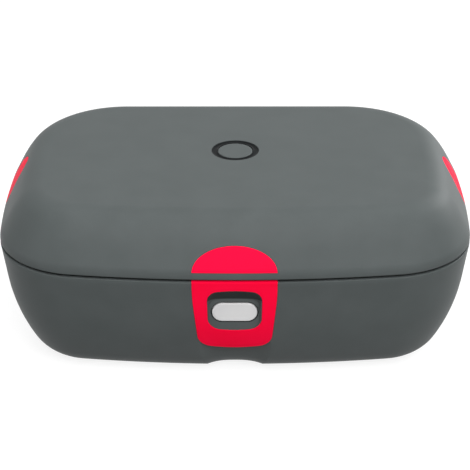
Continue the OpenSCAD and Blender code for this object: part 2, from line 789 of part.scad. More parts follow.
module heat_holes(r_more, z0, z1) {
    for (p = stud_spots) translate([p[0], p[1], z0]) cylinder(r = stud_r + r_more, h = z1 - z0);
    translate([stat_x, tray_y, z0]) cylinder(r = stat_r + 0.5 + r_more, h = z1 - z0);
    translate([sensor_spot[0], sensor_spot[1], z0]) cylinder(r = 3.4 + r_more, h = z1 - z0);
}

module heater_element() color(copper_c) difference() {
    tray_pad(-8, element_low, tray_low);
    heat_holes(line, element_low - 1, tray_low + 1);
}

module heater_clamp() color(steel_c) difference() {
    tray_pad(-5, clamp_low, element_low);
    heat_holes(line, clamp_low - 1, element_low + 1);
}

module clamp_nuts() color(steel_c)
    for (p = stud_spots) translate([p[0], p[1], clamp_low - 2.4]) difference() {
        cylinder(r = 3.2, h = 2.4, $fn = 6);
        translate([0, 0, -1]) cylinder(r = stud_r, h = 5);
    }

module thermostat() color([0.9, 0.88, 0.82]) translate([stat_x, tray_y, 0]) {
    translate([0, 0, tray_low - 7]) cylinder(r = stat_r, h = 7);
    for (s = [-1, 1]) block(s * 5 - 1.5, s * 5 + 1.5, -3, 3, tray_low - 9.5, tray_low - 7 + eps);
}

module thermal_fuse() color([0.85, 0.8, 0.7])
    translate([fuse_x - fuse_len / 2, tray_y, clamp_low - fuse_r]) rotate([0, 90, 0])
        cylinder(r = fuse_r, h = fuse_len);

module temperature_sensor() color([0.2, 0.2, 0.22])
    translate([sensor_spot[0], sensor_spot[1], tray_low - 5]) cylinder(r = 3, h = 5);

module insulation_jacket() color(felt_c) difference() {
    tray_pad(tray_t + line + jacket_t, clamp_low, rim_low);
    tray_pad(tray_t + line, clamp_low - 1, rim_low + 1);
}

module insulation_pad() color(felt_c) difference() {
    tray_pad(tray_t, pad_low, clamp_low);
    for (p = stud_spots) translate([p[0], p[1], clamp_low - 5]) cylinder(r = 4.5, h = 6);
    translate([stat_x, tray_y, pad_low - 1]) cylinder(r = stat_r + 2, h = pad_t + 2);
    translate([sensor_spot[0], sensor_spot[1], pad_low - 1]) cylinder(r = 5, h = pad_t + 2);
    translate([fuse_x, tray_y, pad_low - 1]) cylinder(r = fuse_len / 2 + 5, h = pad_t + 2);
}

// ---- Electronics in the base ----
board_face = board_x + upright_t; // side of the board that lies on the uprights
board_front = board_face + board_t;
board_screw_z = board_low + board_h - 5;
terminal_z = board_low + 5;
terminal_ys = [-15, -5, 5, 15];

module control_board() color(board_c) difference() {
    block(board_face, board_front, -board_len / 2, board_len / 2, board_low, board_low + board_h);
    for (s = [-1, 1]) translate([board_face - 1, s * upright_y, board_screw_z]) rotate([0, 90, 0])
        cylinder(r = 1.3, h = board_t + 2);
}

module board_screws() color(steel_c) for (s = [-1, 1])
    translate([board_face, s * upright_y, board_screw_z]) rotate([0, 90, 0]) {
        cylinder(r = 1.2, h = board_t + eps);
        translate([0, 0, board_t]) cylinder(r = 2.4, h = 1.4);
    }

part_row = board_low + 18; // lower side of the relay and the transformer
part_t = 8; // how far the parts stand off the board
relay_y = -22;
relay_w = 16;
relay_h = 18;
transformer_y = 2;
transformer_w = 18;
transformer_h = 16;
capacitor_r = 3.5;
terminal_t = 7;
terminal_h = 8;

module relay() color([0.1, 0.25, 0.55])
    block(board_front, board_front + part_t, relay_y, relay_y + relay_w, part_row, part_row + relay_h);

module transformer() color([0.75, 0.6, 0.2])
    block(board_front, board_front + part_t, transformer_y, transformer_y + transformer_w,
        part_row, part_row + transformer_h);

module smoothing_capacitor() color(dark_c)
    translate([board_front, -1, part_row - capacitor_r - 1.5]) rotate([0, 90, 0])
        cylinder(r = capacitor_r, h = part_t);

module terminal_block() color([0.15, 0.5, 0.25])
    block(board_front, board_front + terminal_t, terminal_ys[0] - 5, terminal_ys[3] + 5,
        board_low, board_low + terminal_h);

// Flat tapered key of an appliance socket's opening, as [x, z] about its middle
inlet_key = [[-12, -8.2], [12, -8.2], [12, 4.2], [8, 8.2], [-8, 8.2], [-12, 4.2]];

module power_inlet() color(dark_c) difference() {
    union() {
        back_prism(inlet_flange_w, inlet_flange_h, inlet_r, inlet_z, pocket_y, pocket_y + inlet_flange_t);
        back_prism(inlet_w, inlet_h, inlet_r, inlet_z, inlet_body_y, pocket_y + eps);
    }
    translate([0, pocket_y + inlet_flange_t + 1, inlet_z]) rotate([90, 0, 0])
        linear_extrude(inlet_depth + 1) polygon(inlet_key);
    for (p = pin_spots) block(p[0] - 1, p[0] + 1, inlet_body_y - 1, back_at, p[1] - 2, p[1] + 2);
}

pin_spots = [[-7, inlet_z - 2], [0, inlet_z + 2], [7, inlet_z - 2]];
tab_len = 2;

module inlet_pins() color(steel_c) for (p = pin_spots)
    block(p[0] - 1, p[0] + 1, inlet_body_y - tab_len, pocket_y + inlet_flange_t - 3, p[1] - 2, p[1] + 2);

wire_low = floor_z + 5;
terminal_x = board_front + terminal_t;
tab_y = inlet_body_y - tab_len;

module mains_wires() color([0.55, 0.3, 0.2]) for (k = [0 : 2]) {
    x = pin_spots[k][0];
    wire([
        [x, tab_y, pin_spots[k][1]],
        [x, tab_y - 3, pin_spots[k][1]],
        [x, tab_y - 3, 28],
        [x - 2, tab_y - 5, 19],
        [x - 8, 50 - 5 * k, wire_low],
        [terminal_x + 61, 24 - 5 * k, wire_low],
        [terminal_x + 21, 6 - 5 * k, wire_low + 1],
        [terminal_x + 9, terminal_ys[3 - k], terminal_z - 3],
        [terminal_x + 4, terminal_ys[3 - k], terminal_z],
        [terminal_x, terminal_ys[3 - k], terminal_z]
    ], 2);
}

module heater_wires() color([0.85, 0.83, 0.8]) {
    wire([
        [fuse_x + fuse_len / 2, tray_y, clamp_low - fuse_r],
        [fuse_x + fuse_len / 2 + 2.5, tray_y, clamp_low - fuse_r],
        [fuse_x + 4, tray_y - 1, wire_low + 4],
        [fuse_x - 8, -10, wire_low],
        [terminal_x + 65, -22, wire_low],
        [terminal_x + 19, -24, wire_low + 1],
        [terminal_x + 8, terminal_ys[0], terminal_z - 3],
        [terminal_x + 4, terminal_ys[0], terminal_z],
        [terminal_x, terminal_ys[0], terminal_z]
    ], 2);
    wire([
        [fuse_x - fuse_len / 2, tray_y, clamp_low - fuse_r],
        [fuse_x - fuse_len / 2 - 2.5, tray_y, clamp_low - fuse_r],
        [fuse_x - fuse_len / 2 - 2.5, tray_y, pad_low - 1],
        [fuse_x - 14, tray_y, pad_low - 3],
        [-10, tray_y, pad_low - 3],
        [stat_x + 9, tray_y, pad_low - 3],
        [stat_x + 5, tray_y, tray_low - 12],
        [stat_x + 5, tray_y, tray_low - 9.5]
    ], 2);
}

module sensor_wires() color([0.2, 0.2, 0.2]) wire([
    [sensor_spot[0], sensor_spot[1], tray_low - 5],
    [sensor_spot[0], sensor_spot[1], pad_low],
    [sensor_spot[0] - 4, sensor_spot[1] + 2, wire_low + 4],
    [terminal_x + 75, 20, wire_low + 4],
    [terminal_x + 35, 22, wire_low + 5],
    [terminal_x + 9, 26, wire_low + 5],
    [board_front + 8, 26, board_low + 12],
    [board_front + 5, 26, board_low + 13],
    [board_front, 26, board_low + 13]
], 1.6);

// ---- Spring contacts that carry the button's signals into the lid ----
contact_h = 2.5;
contact_len = contact_step * contact_count + 2;
lid_contact_t = 0.4;

module contact_block() color(dark_c) difference() {
    block(contact_x - contact_len / 2, contact_x + contact_len / 2,
        contact_y - 4, contact_y + 4, rim_z, rim_z + contact_h);
    for (x = contact_xs) translate([x, contact_y, rim_z - 1]) cylinder(r = 0.8, h = contact_h + 2);
}

module contact_pins() color([0.85, 0.7, 0.3])
    for (x = contact_xs) translate([x, contact_y, rim_low - 3])
        cylinder(r = 0.8, h = liner_z - lid_contact_t - fit - rim_low + 3);

module feet() color(dark_c) for (p = foot_spots) translate([p[0], p[1], 0])
    cylinder(r = foot_r, h = base_bottom + foot_sink);

module hinge_pins() color(steel_c) hinge_rods(pin_r, pin_len);

// ---- Lid ----
function accent_outline(w, rise, grow) = let (a = w / 2 + grow, b = rise + grow, z = seam_z + accent_z)
    concat([[-a, z - grow], [a, z - grow]], [for (k = [0 : 20]) [a * cos(9 * k), z + b * sin(9 * k)]]);

// Prism of an accent's outline through the front (side = 0), right (1) or left (-1) wall
module accent_prism(side, grow) {
    if (side == 0) front_prism(accent_outline(accent_w, accent_rise, grow), front_out, front_at + 30);
    else translate([side > 0 ? half_w - 30 : -half_w - 3, mid_y + side_accent_y, 0]) rotate([90, 0, 90])
        linear_extrude(33) polygon(accent_outline(side_accent_w, side_accent_rise, grow));
}

// Solid behind the same wall of the lid, t below its surface
module accent_block(side, t) {
    rows = t > 0 ? opened_down(lid_rows(t), 1) : lid_rows(0);
    if (side == 0) front_block(rows);
    else side_block(rows, side);
}

lid_tower_spots = [for (s = [-1, 1]) each
    [[s * (half_w - 42), front_at + 34], [s * (half_w - 42), back_at - 40]]];
lid_tower_r = 4;
lid_screw_len = 8;

module lid_shell() color(shell_c) difference() {
    union() {
        intersection() {
            loft(lid_rows(0));
            union() {
                difference() {
                    block(-half_w - 1, half_w + 1, front_at - 1, back_at + 1, seam_z, body_h + 1);
                    loft(opened_down(lid_rows(wall), 1));
                }
                // towers for the liner's screws
                for (p = lid_tower_spots) translate([p[0], p[1], liner_top])
                    cylinder(r = lid_tower_r, h = body_h - liner_top + 1);
                // posts of the button board
                for (s = [-1, 1]) translate([s * board_post_x, ring_at, button_board_top])
                    cylinder(r = 2.5, h = body_h - button_board_top + 1);
            }
        }
        lid_knuckles();
    }
    for (side = [-1 : 1]) difference() {
        accent_prism(side, line);
        accent_block(side, accent_t);
    }
    translate([0, ring_at, lid_in_z - 1]) cylinder(r = ring_d / 2 + line, h = wall + 2);
    for (p = lid_tower_spots) translate([p[0], p[1], liner_top - 1])
        cylinder(r = screw_r, h = lid_screw_len + 1);
    hinge_rods(pin_r + pin_play, pin_len);
    for (s = [-1, 1]) for (e = [-1, 1]) cross_prism(
        s * hinge_x + e * (knuckle_w / 2 + fit + side_knuckle_w / 2), side_knuckle_w + 2 * fit)
        translate([hinge_y, hinge_z]) circle(r = knuckle_r + fit + 0.2);
}

module lid_accent(side) {
    intersection() {
        accent_prism(side, 0);
        difference() {
            accent_block(side, 0);
            accent_block(side, accent_t);
        }
    }
}

module lid_front_accent() color(red_c) lid_accent(0);
module lid_left_accent() color(red_c) lid_accent(-1);
module lid_right_accent() color(red_c) lid_accent(1);

liner_inset = wall + 1.4;
reflector_t = 1;
reflector_h = 1.6;
gasket_w = 4.4;

module lid_liner() color(dark_c) difference() {
    translate([0, 0, liner_z]) linear_extrude(liner_t) polygon(outline(liner_inset));
    for (p = lid_tower_spots) translate([p[0], p[1], liner_z - 1]) cylinder(r = screw_r, h = liner_t + 2);
    for (x = contact_xs) translate([x, contact_y, liner_z - 1]) cylinder(r = 0.8, h = liner_t + 2);
}

module lid_reflector() color(alu_c) difference() {
    tray_pad(-2, liner_z - reflector_h, liner_z);
    tray_pad(-5, liner_z - reflector_h - 1, liner_z - reflector_t);
}

module lid_gasket() color([0.2, 0.2, 0.2]) difference() {
    tray_pad(dish_flange - 0.4, dish_top + fit, liner_z);
    tray_pad(dish_flange - 0.4 - gasket_w, dish_top, liner_z + 1);
}

module lid_insulation() color(felt_c) tray_pad(-14, liner_top, button_board_low - 6);

module lid_screws() color(steel_c)
    for (p = lid_tower_spots) translate([p[0], p[1], 0]) mirror([0, 0, 1])
        translate([0, 0, -liner_z]) difference() {
            union() {
                cylinder(r = screw_head_r, h = screw_head_h);
                translate([0, 0, 1 - lid_screw_len - liner_t])
                    cylinder(r = screw_r, h = lid_screw_len + liner_t - 1 + eps);
            }
            screw_cross();
        }

hook_z = slider_low_z - fit;
hook_h = 3.4;

module latch_hook() color(dark_c) {
    block(-tongue_w / 2 - 3, tongue_w / 2 + 3, tongue_y - 3, tongue_y + tongue_t + 3, liner_z - 2, liner_z);
    block(-tongue_w / 2, tongue_w / 2, tongue_y, tongue_y + tongue_t, hook_z - hook_h, liner_z - 1);
    // catch with a sloping lead-in below
    cross_prism(0, tongue_w) polygon([
        [tongue_y + tongue_t - eps, hook_z], [window_rear + hook_catch, hook_z],
        [window_rear + hook_catch, hook_z - 0.8], [tongue_y + tongue_t - eps, hook_z - hook_h]
    ]);
}

// ---- Power button, its ring and its board ----
ring_flange_r = ring_d / 2 + 1.4;
ring_flange_t = 1.4;
cap_r = ring_bore / 2 - fit;
cap_flange_r = cap_r + 1.6;
cap_flange_t = 1.5;
cap_top = body_h - 0.3;
cap_flange_top = lid_in_z - ring_flange_t - fit;
cap_low = cap_flange_top - cap_flange_t;
button_board_t = 1.6;
button_board_w = 46;
button_board_d = 34;
switch_h = 3.5;
nub_gap = power_travel + pin_play;
nub_h = 1.4;
switch_top = cap_low - nub_h - nub_gap;
button_board_top = switch_top - switch_h;
button_board_low = button_board_top - button_board_t;
board_post_x = 19;
led_r = (ring_d + ring_bore) / 4;
led_count = 8;

module at_ring(z) {
    translate([0, ring_at, z]) children();
}

module light_ring() color([0.15, 0.15, 0.16]) difference() {
    union() {
        at_ring(lid_in_z - eps) cylinder(r = ring_d / 2, h = wall + eps);
        at_ring(lid_in_z - ring_flange_t) cylinder(r = ring_flange_r, h = ring_flange_t);
    }
    at_ring(lid_in_z - 5) cylinder(r = ring_bore / 2, h = 10);
}

module power_button() color(shell_c) {
    at_ring(cap_flange_top - eps) cylinder(r = cap_r, h = cap_top - cap_flange_top + eps);
    at_ring(cap_low) cylinder(r = cap_flange_r, h = cap_flange_t);
    at_ring(cap_low - nub_h) cylinder(r = 2, h = nub_h + eps);
}

module button_board() color(board_c) difference() {
    translate([0, ring_at, 0]) pad(button_board_w, button_board_d, 3, button_board_low, button_board_top);
    for (s = [-1, 1]) translate([s * board_post_x, ring_at, button_board_low - 1]) cylinder(r = 1, h = 4);
}

module ring_leds() color([0.9, 0.9, 0.8]) for (k = [0 : led_count - 1])
    at_ring(button_board_top) rotate([0, 0, 360 / led_count * (k + 0.5)])
        block(led_r - 1, led_r + 1, -1, 1, 0, 1.2);

module button_switch() color(dark_c) {
    at_ring(button_board_top) block(-3, 3, -3, 3, 0, switch_h - 0.8);
    at_ring(button_board_top + switch_h - 0.8 - eps) cylinder(r = 1.7, h = 0.8 + eps);
}

dome_low_r = 8;
dome_top_r = 5.4;
dome_t = 1;
module button_dome() color([0.8, 0.8, 0.8]) at_ring(0) rotate_extrude() polygon([
    [dome_low_r - dome_t - 1, button_board_top], [dome_low_r, button_board_top],
    [dome_low_r, button_board_top + dome_t],
    [dome_top_r, cap_low - 0.02], [dome_top_r - dome_t, cap_low - 0.02],
    [dome_low_r - dome_t - 1, button_board_top + dome_t]
]);

module lid_contacts() color([0.85, 0.7, 0.3]) for (x = contact_xs) {
    translate([x, contact_y, liner_z - lid_contact_t]) cylinder(r = 1.8, h = lid_contact_t);
    translate([x, contact_y, liner_z - eps]) cylinder(r = 0.8, h = liner_t + 1);
}

lid_wire_z = button_board_low - 4;
pad_row_y = ring_at + 12; // row of pads on the board's underside

module lid_wires() color([0.6, 0.2, 0.2]) for (k = [0 : contact_count - 1]) {
    x = contact_xs[k];
    wire([
        [x, contact_y, liner_top + 1],
        [x, contact_y, liner_top + 4],
        [x - 4, contact_y - 14, lid_wire_z],
        [17 + 3 * k, ring_at + 30, lid_wire_z],
        [2 + 4 * k, pad_row_y + 2, lid_wire_z],
        [4 * k - 2, pad_row_y, button_board_low - 1.5],
        [4 * k - 2, pad_row_y, button_board_low]
    ], 1.2);
}

base_shell();
latch_frame();
latch_recess();
latch_housing();
latch_springs();
rim_frame();
rim_screws();
heater_tray();
dish();
heater_element();
heater_clamp();
clamp_nuts();
thermostat();
thermal_fuse();
temperature_sensor();
insulation_jacket();
insulation_pad();
control_board();
board_screws();
relay();
transformer();
smoothing_capacitor();
terminal_block();
power_inlet();
inlet_pins();
mains_wires();
heater_wires();
sensor_wires();
contact_block();
contact_pins();
feet();
hinge_pins();
latch_button();
latch_slider();
lid_shell();
lid_front_accent();
lid_left_accent();
lid_right_accent();
lid_liner();
lid_reflector();
lid_gasket();
lid_insulation();
lid_screws();
latch_hook();
light_ring();
button_board();
ring_leds();
button_switch();
button_dome();
lid_contacts();
lid_wires();
power_button();
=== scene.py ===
import math

import bmesh
import bpy
from mathutils import Matrix, Vector


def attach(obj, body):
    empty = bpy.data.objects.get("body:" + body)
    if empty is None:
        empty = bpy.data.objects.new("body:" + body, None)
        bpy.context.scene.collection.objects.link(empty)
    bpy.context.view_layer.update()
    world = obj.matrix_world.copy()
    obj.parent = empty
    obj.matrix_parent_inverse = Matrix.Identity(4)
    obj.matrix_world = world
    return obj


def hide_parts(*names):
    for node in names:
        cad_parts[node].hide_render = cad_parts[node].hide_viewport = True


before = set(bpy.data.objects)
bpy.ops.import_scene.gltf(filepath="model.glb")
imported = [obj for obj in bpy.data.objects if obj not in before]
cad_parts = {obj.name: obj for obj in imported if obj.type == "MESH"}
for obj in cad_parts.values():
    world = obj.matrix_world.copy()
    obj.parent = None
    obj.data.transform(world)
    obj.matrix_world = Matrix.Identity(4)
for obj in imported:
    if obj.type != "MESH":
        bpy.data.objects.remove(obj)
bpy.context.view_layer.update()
MM = 0.001
SHARP_ANGLE = 32

# ---- Sizes, the same as the part's own source, in millimetres ----
BODY_W, BODY_D, BODY_H = 275.0, 190.0, 106.0
SEAM_Z, SEAM_GAP, WALL = 73.35, 1.7, 2.4
FRONT_R, SIDE_R, CORNER_F, CORNER_B = 692.0, 604.0, 51.0, 68.0
BASE_LEAN, WAIST_R, HEEL_LEAN, HEEL_R, FOOT_PROUD = 7.7, 109.6, 28.8, 24.6, 0.9
RIM_H, BROW_R, LID_LEAN, SHOULDER_R, SHOULDER_LEAN, CROWN_R = 0.8, 12.0, 27.8, 62.0, 38.6, 17.8
ACCENT_W, ACCENT_RISE, ACCENT_Z, ACCENT_T, ACCENT_EDGE = 47.4, 13.5, 4.9, 1.2, 0.18
SIDE_ACCENT_W, SIDE_ACCENT_RISE, SIDE_ACCENT_Y = 36.0, 22.0, 6.5
FRAME_TOP_W, FRAME_KNEE_Z, FRAME_FOOT_W, FRAME_FOOT_Z, FRAME_BOW, FRAME_R = 47.6, 62.0, 41.0, 24.0, 2.3, 9.0
FRAME_KNEE_R, FRAME_BOW_R = 150.0, 80.0
BUTTON_W, BUTTON_H, BUTTON_Z, BUTTON_PROUD = 25.4, 11.5, 50.8, 0.4
RECESS_W, RECESS_H, RECESS_Z, RECESS_WALL, RECESS_SLOPE = 30.8, 28.2, 52.8, 0.8, 6.2
RECESS_TOP_R, RECESS_FOOT_R, RECESS_BOW, RECESS_BOW_R, RECESS_FOOT_IN = 6.5, 8.0, 1.4, 60.0, 0.4
SCOOP_DEPTH, SCOOP_TOP_W, SCOOP_FOOT_W, SCOOP_RISE, SCOOP_OVERLAP = 4.5, 41.6, 29.0, 4.8, 6.8
SCOOP_WALL, SCOOP_FADE, SCOOP_OVER = WALL + 1.2, 2.6, 1.06
RING_D, RING_BORE, RING_Y = 28.2, 21.2, 6.5
HINGE_X, HINGE_OUT, KNUCKLE_R, PIN_R, KNUCKLE_W, SIDE_KNUCKLE_W = 55.0, 2.0, 3.6, 1.5, 16.0, 8.0
KNUCKLE_PLAY, ARM_LEN, ARM_BEVEL, PIN_HELD, PIN_FREE = 0.2, 10.0, 0.25, 0.02, 0.05
POCKET_W, POCKET_H, POCKET_Z, POCKET_R, POCKET_DEEP, POCKET_GAP = 36.0, 25.0, 38.0, 3.0, 9.5, 1.5
INLET_W, INLET_H = 27.2, 20.2
FIT, LINE = 0.3, 0.1
FRONT_STEPS, CORNER_STEPS, SIDE_STEPS, BACK_STEPS = 24, 26, 16, 14
EDGE = 0.45  # rounding of the shells' rims
SOFT = 0.22  # rounding of the latch frame's edges
INSIDE, POST_INSIDE = 0.6, 0.8  # how far below the surface the joined solids and the inner posts end

HALF_W = BODY_W / 2
BACK_REACH = HINGE_OUT + KNUCKLE_R
FRONT_AT = -(BODY_D + BACK_REACH) / 2
BACK_AT = FRONT_AT + BODY_D
MID_Y = (FRONT_AT + BACK_AT) / 2
BASE_TOP = SEAM_Z - SEAM_GAP / 2
BASE_LOW = FOOT_PROUD
LID_LOW = SEAM_Z + SEAM_GAP / 2
RING_AT = MID_Y + RING_Y
HINGE_Y, HINGE_Z = BACK_AT + HINGE_OUT, SEAM_Z
FRONT_OUT = FRONT_AT - 3


def rad(a):
    return math.radians(a)


def quarter(steps):
    """Pairs of 1 - cos and 1 - sin over a quarter turn, for rounded edges."""
    turns = [math.pi / 2 * k / steps for k in range(steps + 1)]
    return [(1 - math.cos(t), 1 - math.sin(t)) for t in turns]


# ---- Plan outline: tangent arcs, mirrored about X = 0 ----
FRONT_C = (0.0, FRONT_AT + FRONT_R)
TUCK = 0.04  # the true arcs of the sides stay inside the source's facets
SIDE_C = (HALF_W - TUCK - SIDE_R, MID_Y)


def meet(c0, d0, c1, d1):
    vx, vy = c1[0] - c0[0], c1[1] - c0[1]
    l = math.hypot(vx, vy)
    a = (d0 * d0 - d1 * d1 + l * l) / (2 * l)
    h = math.sqrt(d0 * d0 - a * a)
    return (c0[0] + (a * vx - h * vy) / l, c0[1] + (a * vy + h * vx) / l)


def heading(c0, c1):
    return math.atan2(c1[1] - c0[1], c1[0] - c0[0])


CF = meet(FRONT_C, FRONT_R - CORNER_F, SIDE_C, SIDE_R - CORNER_F)
CB_Y = BACK_AT - CORNER_B
CB = (SIDE_C[0] + math.sqrt((SIDE_R - CORNER_B) ** 2 - (CB_Y - MID_Y) ** 2), CB_Y)
FRONT_END = heading(FRONT_C, CF)
CORNER_END = heading(SIDE_C, CF)
SIDE_END = heading(SIDE_C, CB)


def arc(c, r, a0, a1, steps):
    return [(c[0] + r * math.cos(a0 + (a1 - a0) * k / steps), c[1] + r * math.sin(a0 + (a1 - a0) * k / steps))
            for k in range(steps)]


def outline(i):
    """The box's plan outline moved inward by i, counterclockwise from the middle of the front."""
    h = arc(FRONT_C, FRONT_R - i, -math.pi / 2, FRONT_END, FRONT_STEPS)
    h += arc(CF, CORNER_F - i, FRONT_END, CORNER_END, CORNER_STEPS)
    h += arc(SIDE_C, SIDE_R - i, CORNER_END, SIDE_END, SIDE_STEPS)
    h += arc(CB, CORNER_B - i, SIDE_END, math.pi / 2, CORNER_STEPS)
    h += [(CB[0] * (1 - k / BACK_STEPS), BACK_AT - i) for k in range(BACK_STEPS + 1)]
    return h + [(-x, y) for x, y in h[-2:0:-1]]


# ---- Wall profiles: rows of (inset, z), going away from the joint line ----
def inward(a, s):
    return (math.cos(a), -s * math.sin(a))


def bend(start, r, a0, a1, s, t, steps):
    out = []
    i0 = inward(a0, s)
    for k in range(1, steps + 1):
        i1 = inward(a0 + (a1 - a0) * k / steps, s)
        out.append((start[0] + r * (i0[0] - i1[0]) + t * i1[0], start[1] + r * (i0[1] - i1[1]) + t * i1[1]))
    return out


def bend_end(start, r, a0, a1, s):
    return bend(start, r, a0, a1, s, 0, 1)[0]


def straight(p, q, steps):
    return [(p[0] + (q[0] - p[0]) * k / steps, p[1] + (q[1] - p[1]) * k / steps) for k in range(1, steps + 1)]


A1, A2 = rad(BASE_LEAN), rad(HEEL_LEAN)
BASE_LINE = (BASE_TOP - BASE_LOW - WAIST_R * (math.sin(A2) - math.sin(A1))
             - HEEL_R * (1 - math.sin(A2))) / math.cos(A1)
BP0 = (0.0, BASE_TOP)
BP1 = (BP0[0] + BASE_LINE * math.sin(A1), BP0[1] - BASE_LINE * math.cos(A1))
BP2 = bend_end(BP1, WAIST_R, A1, A2, -1)


def base_rows(t):
    n = inward(A1, -1)
    p1 = (BP1[0] + t * n[0], BP1[1] + t * n[1])
    rows = [(t, BASE_TOP)] + straight((t, BASE_TOP), p1, 6)
    rows += bend(BP1, WAIST_R, A1, A2, -1, t, 12)
    rows += bend(BP2, HEEL_R, A2, math.pi / 2, -1, t, 12)
    return rows


A3, A4 = rad(LID_LEAN), rad(SHOULDER_LEAN)
LID_LINE = (BODY_H - LID_LOW - RIM_H - BROW_R * math.sin(A3) - SHOULDER_R * (math.sin(A4) - math.sin(A3))
            - CROWN_R * (1 - math.sin(A4))) / math.cos(A3)
LP1 = (0.0, LID_LOW + RIM_H)
LP2 = bend_end(LP1, BROW_R, 0, A3, 1)
LP3 = (LP2[0] + LID_LINE * math.sin(A3), LP2[1] + LID_LINE * math.cos(A3))
LP4 = bend_end(LP3, SHOULDER_R, A3, A4, 1)


def lid_rows(t):
    n = inward(A3, 1)
    rows = [(t, LID_LOW), (t, LID_LOW + RIM_H)] + bend(LP1, BROW_R, 0, A3, 1, t, 8)
    rows += straight(rows[-1], (LP3[0] + t * n[0], LP3[1] + t * n[1]), 5)
    rows += bend(LP3, SHOULDER_R, A3, A4, 1, t, 5)
    rows += bend(LP4, CROWN_R, A4, math.pi / 2, 1, t, 12)
    return rows


def inset_at(rows, z):
    """Inset and its change with height at z, from a list of rows."""
    for (i0, z0), (i1, z1) in zip(rows, rows[1:]):
        lo, hi = min(z0, z1), max(z0, z1)
        if lo <= z <= hi and hi > lo:
            return i0 + (i1 - i0) * (z - z0) / (z1 - z0), (i1 - i0) / (z1 - z0)
    end = rows[0] if abs(z - rows[0][1]) < abs(z - rows[-1][1]) else rows[-1]
    return end[0], 0.0


BASE_ROWS = base_rows(0)
LID_ROWS = lid_rows(0)


def front_point(rows, x, z, t=0.0):
    """Point on the front, t below the surface."""
    i, m = inset_at(rows, z)
    r = FRONT_R - i
    a = math.asin(x / r)
    n = Vector((math.sin(a), -math.cos(a), m)).normalized()
    return Vector((x, FRONT_C[1] - r * math.cos(a), z)) - t * n


def side_point(rows, s, y, z, t=0.0):
    """Point on the left (s -1) or right (s +1) side, t below the surface."""
    i, m = inset_at(rows, z)
    r = SIDE_R - i
    a = math.asin((y - MID_Y) / r)
    n = Vector((s * math.cos(a), math.sin(a), m)).normalized()
    return Vector((s * (SIDE_C[0] + r * math.cos(a)), y, z)) - t * n


# ---- Meshes ----
def new_object(name, verts, faces):
    me = bpy.data.meshes.new(name)
    me.from_pydata([tuple(c * MM for c in v) for v in verts], [], faces)
    me.validate()
    me.update()
    o = bpy.data.objects.new(name, me)
    bpy.context.scene.collection.objects.link(o)
    return o


def rings_mesh(rings, closed=False, caps=True):
    """Vertices and faces of a skin over rings of points of equal count."""
    n, m = len(rings[0]), len(rings)
    verts = [tuple(p) for r in rings for p in r]
    faces = []
    for j in range(m if closed else m - 1):
        j1 = (j + 1) % m
        for k in range(n):
            a, b = j * n + k, j * n + (k + 1) % n
            c, d = j1 * n + (k + 1) % n, j1 * n + k
            faces.append((a, b, c, d))
    if caps and not closed:
        faces.append(tuple(range(n))[::-1])
        faces.append(tuple(range((m - 1) * n, m * n)))
    return verts, faces


def outward(o):
    """Turn the faces of a closed mesh outward."""
    bm = bmesh.new()
    bm.from_mesh(o.data)
    bmesh.ops.remove_doubles(bm, verts=bm.verts, dist=1e-7)
    bmesh.ops.recalc_face_normals(bm, faces=bm.faces)
    bm.to_mesh(o.data)
    bm.free()
    return o


def skin(name, rings, closed=False, caps=True):
    return outward(new_object(name, *rings_mesh(rings, closed, caps)))


def loft(name, rows):
    return skin(name, [[(x, y, z) for x, y in outline(i)] for i, z in rows])


def smooth(o, angle):
    me = o.data
    me.polygons.foreach_set("use_smooth", [True] * len(me.polygons))
    me.set_sharp_from_angle(angle=rad(angle))


def combine(o, other, how):
    """Boolean of two closed meshes, left in the first; the second is removed."""
    mod = o.modifiers.new("b", "BOOLEAN")
    mod.operation = how
    mod.solver = "EXACT"
    mod.object = other
    dg = bpy.context.evaluated_depsgraph_get()
    me = bpy.data.meshes.new_from_object(o.evaluated_get(dg))
    o.modifiers.clear()
    old = o.data
    o.data = me
    bpy.data.meshes.remove(old)
    bpy.data.objects.remove(other)
    return o


def cut(o, *tools):
    for tool in tools:
        combine(o, tool, "DIFFERENCE")


def join(o, *others):
    """Add other meshes to the first as loose parts."""
    bm = bmesh.new()
    for q in (o,) + others:
        bm.from_mesh(q.data)
    bm.to_mesh(o.data)
    bm.free()
    for q in others:
        bpy.data.objects.remove(q)


def prism(name, points, axis, a0, a1, bevel=0.0):
    """Closed prism of a 2D outline along an axis (0 X, 1 Y, 2 Z), with softened ends."""
    def place(p, a):
        if axis == 0:
            return (a, p[0], p[1])
        if axis == 1:
            return (p[0], a, p[1])
        return (p[0], p[1], a)
    if bevel <= 0:
        return skin(name, [[place(p, a0) for p in points], [place(p, a1) for p in points]])
    rings = []
    for e, s in ((a0, 1), (a1, -1)):
        part = [[place(p, e + s * bevel * v) for p in grown(points, -bevel * u)] for u, v in quarter(4)]
        rings += part[::-1] if s > 0 else part
    return skin(name, rings)


def grown(points, g):
    """A closed 2D outline moved outward by g along its corners' normals (counterclockwise outlines)."""
    n = len(points)
    area = sum(p[0] * q[1] - q[0] * p[1] for p, q in zip(points, points[1:] + points[:1]))
    sgn = 1.0 if area > 0 else -1.0
    out = []
    for k in range(n):
        p0, p, p1 = points[k - 1], points[k], points[(k + 1) % n]
        d0 = Vector((p[0] - p0[0], p[1] - p0[1]))
        d1 = Vector((p1[0] - p[0], p1[1] - p[1]))
        if d0.length < 1e-9 or d1.length < 1e-9:
            out.append(p)
            continue
        d0.normalize()
        d1.normalize()
        n0 = Vector((d0.y, -d0.x)) * sgn
        n1 = Vector((d1.y, -d1.x)) * sgn
        b = n0 + n1
        if b.length < 1e-6:
            b = n0
        b.normalize()
        c = max(0.4, b.dot(n0))
        out.append((p[0] + b.x * g / c, p[1] + b.y * g / c))
    return out


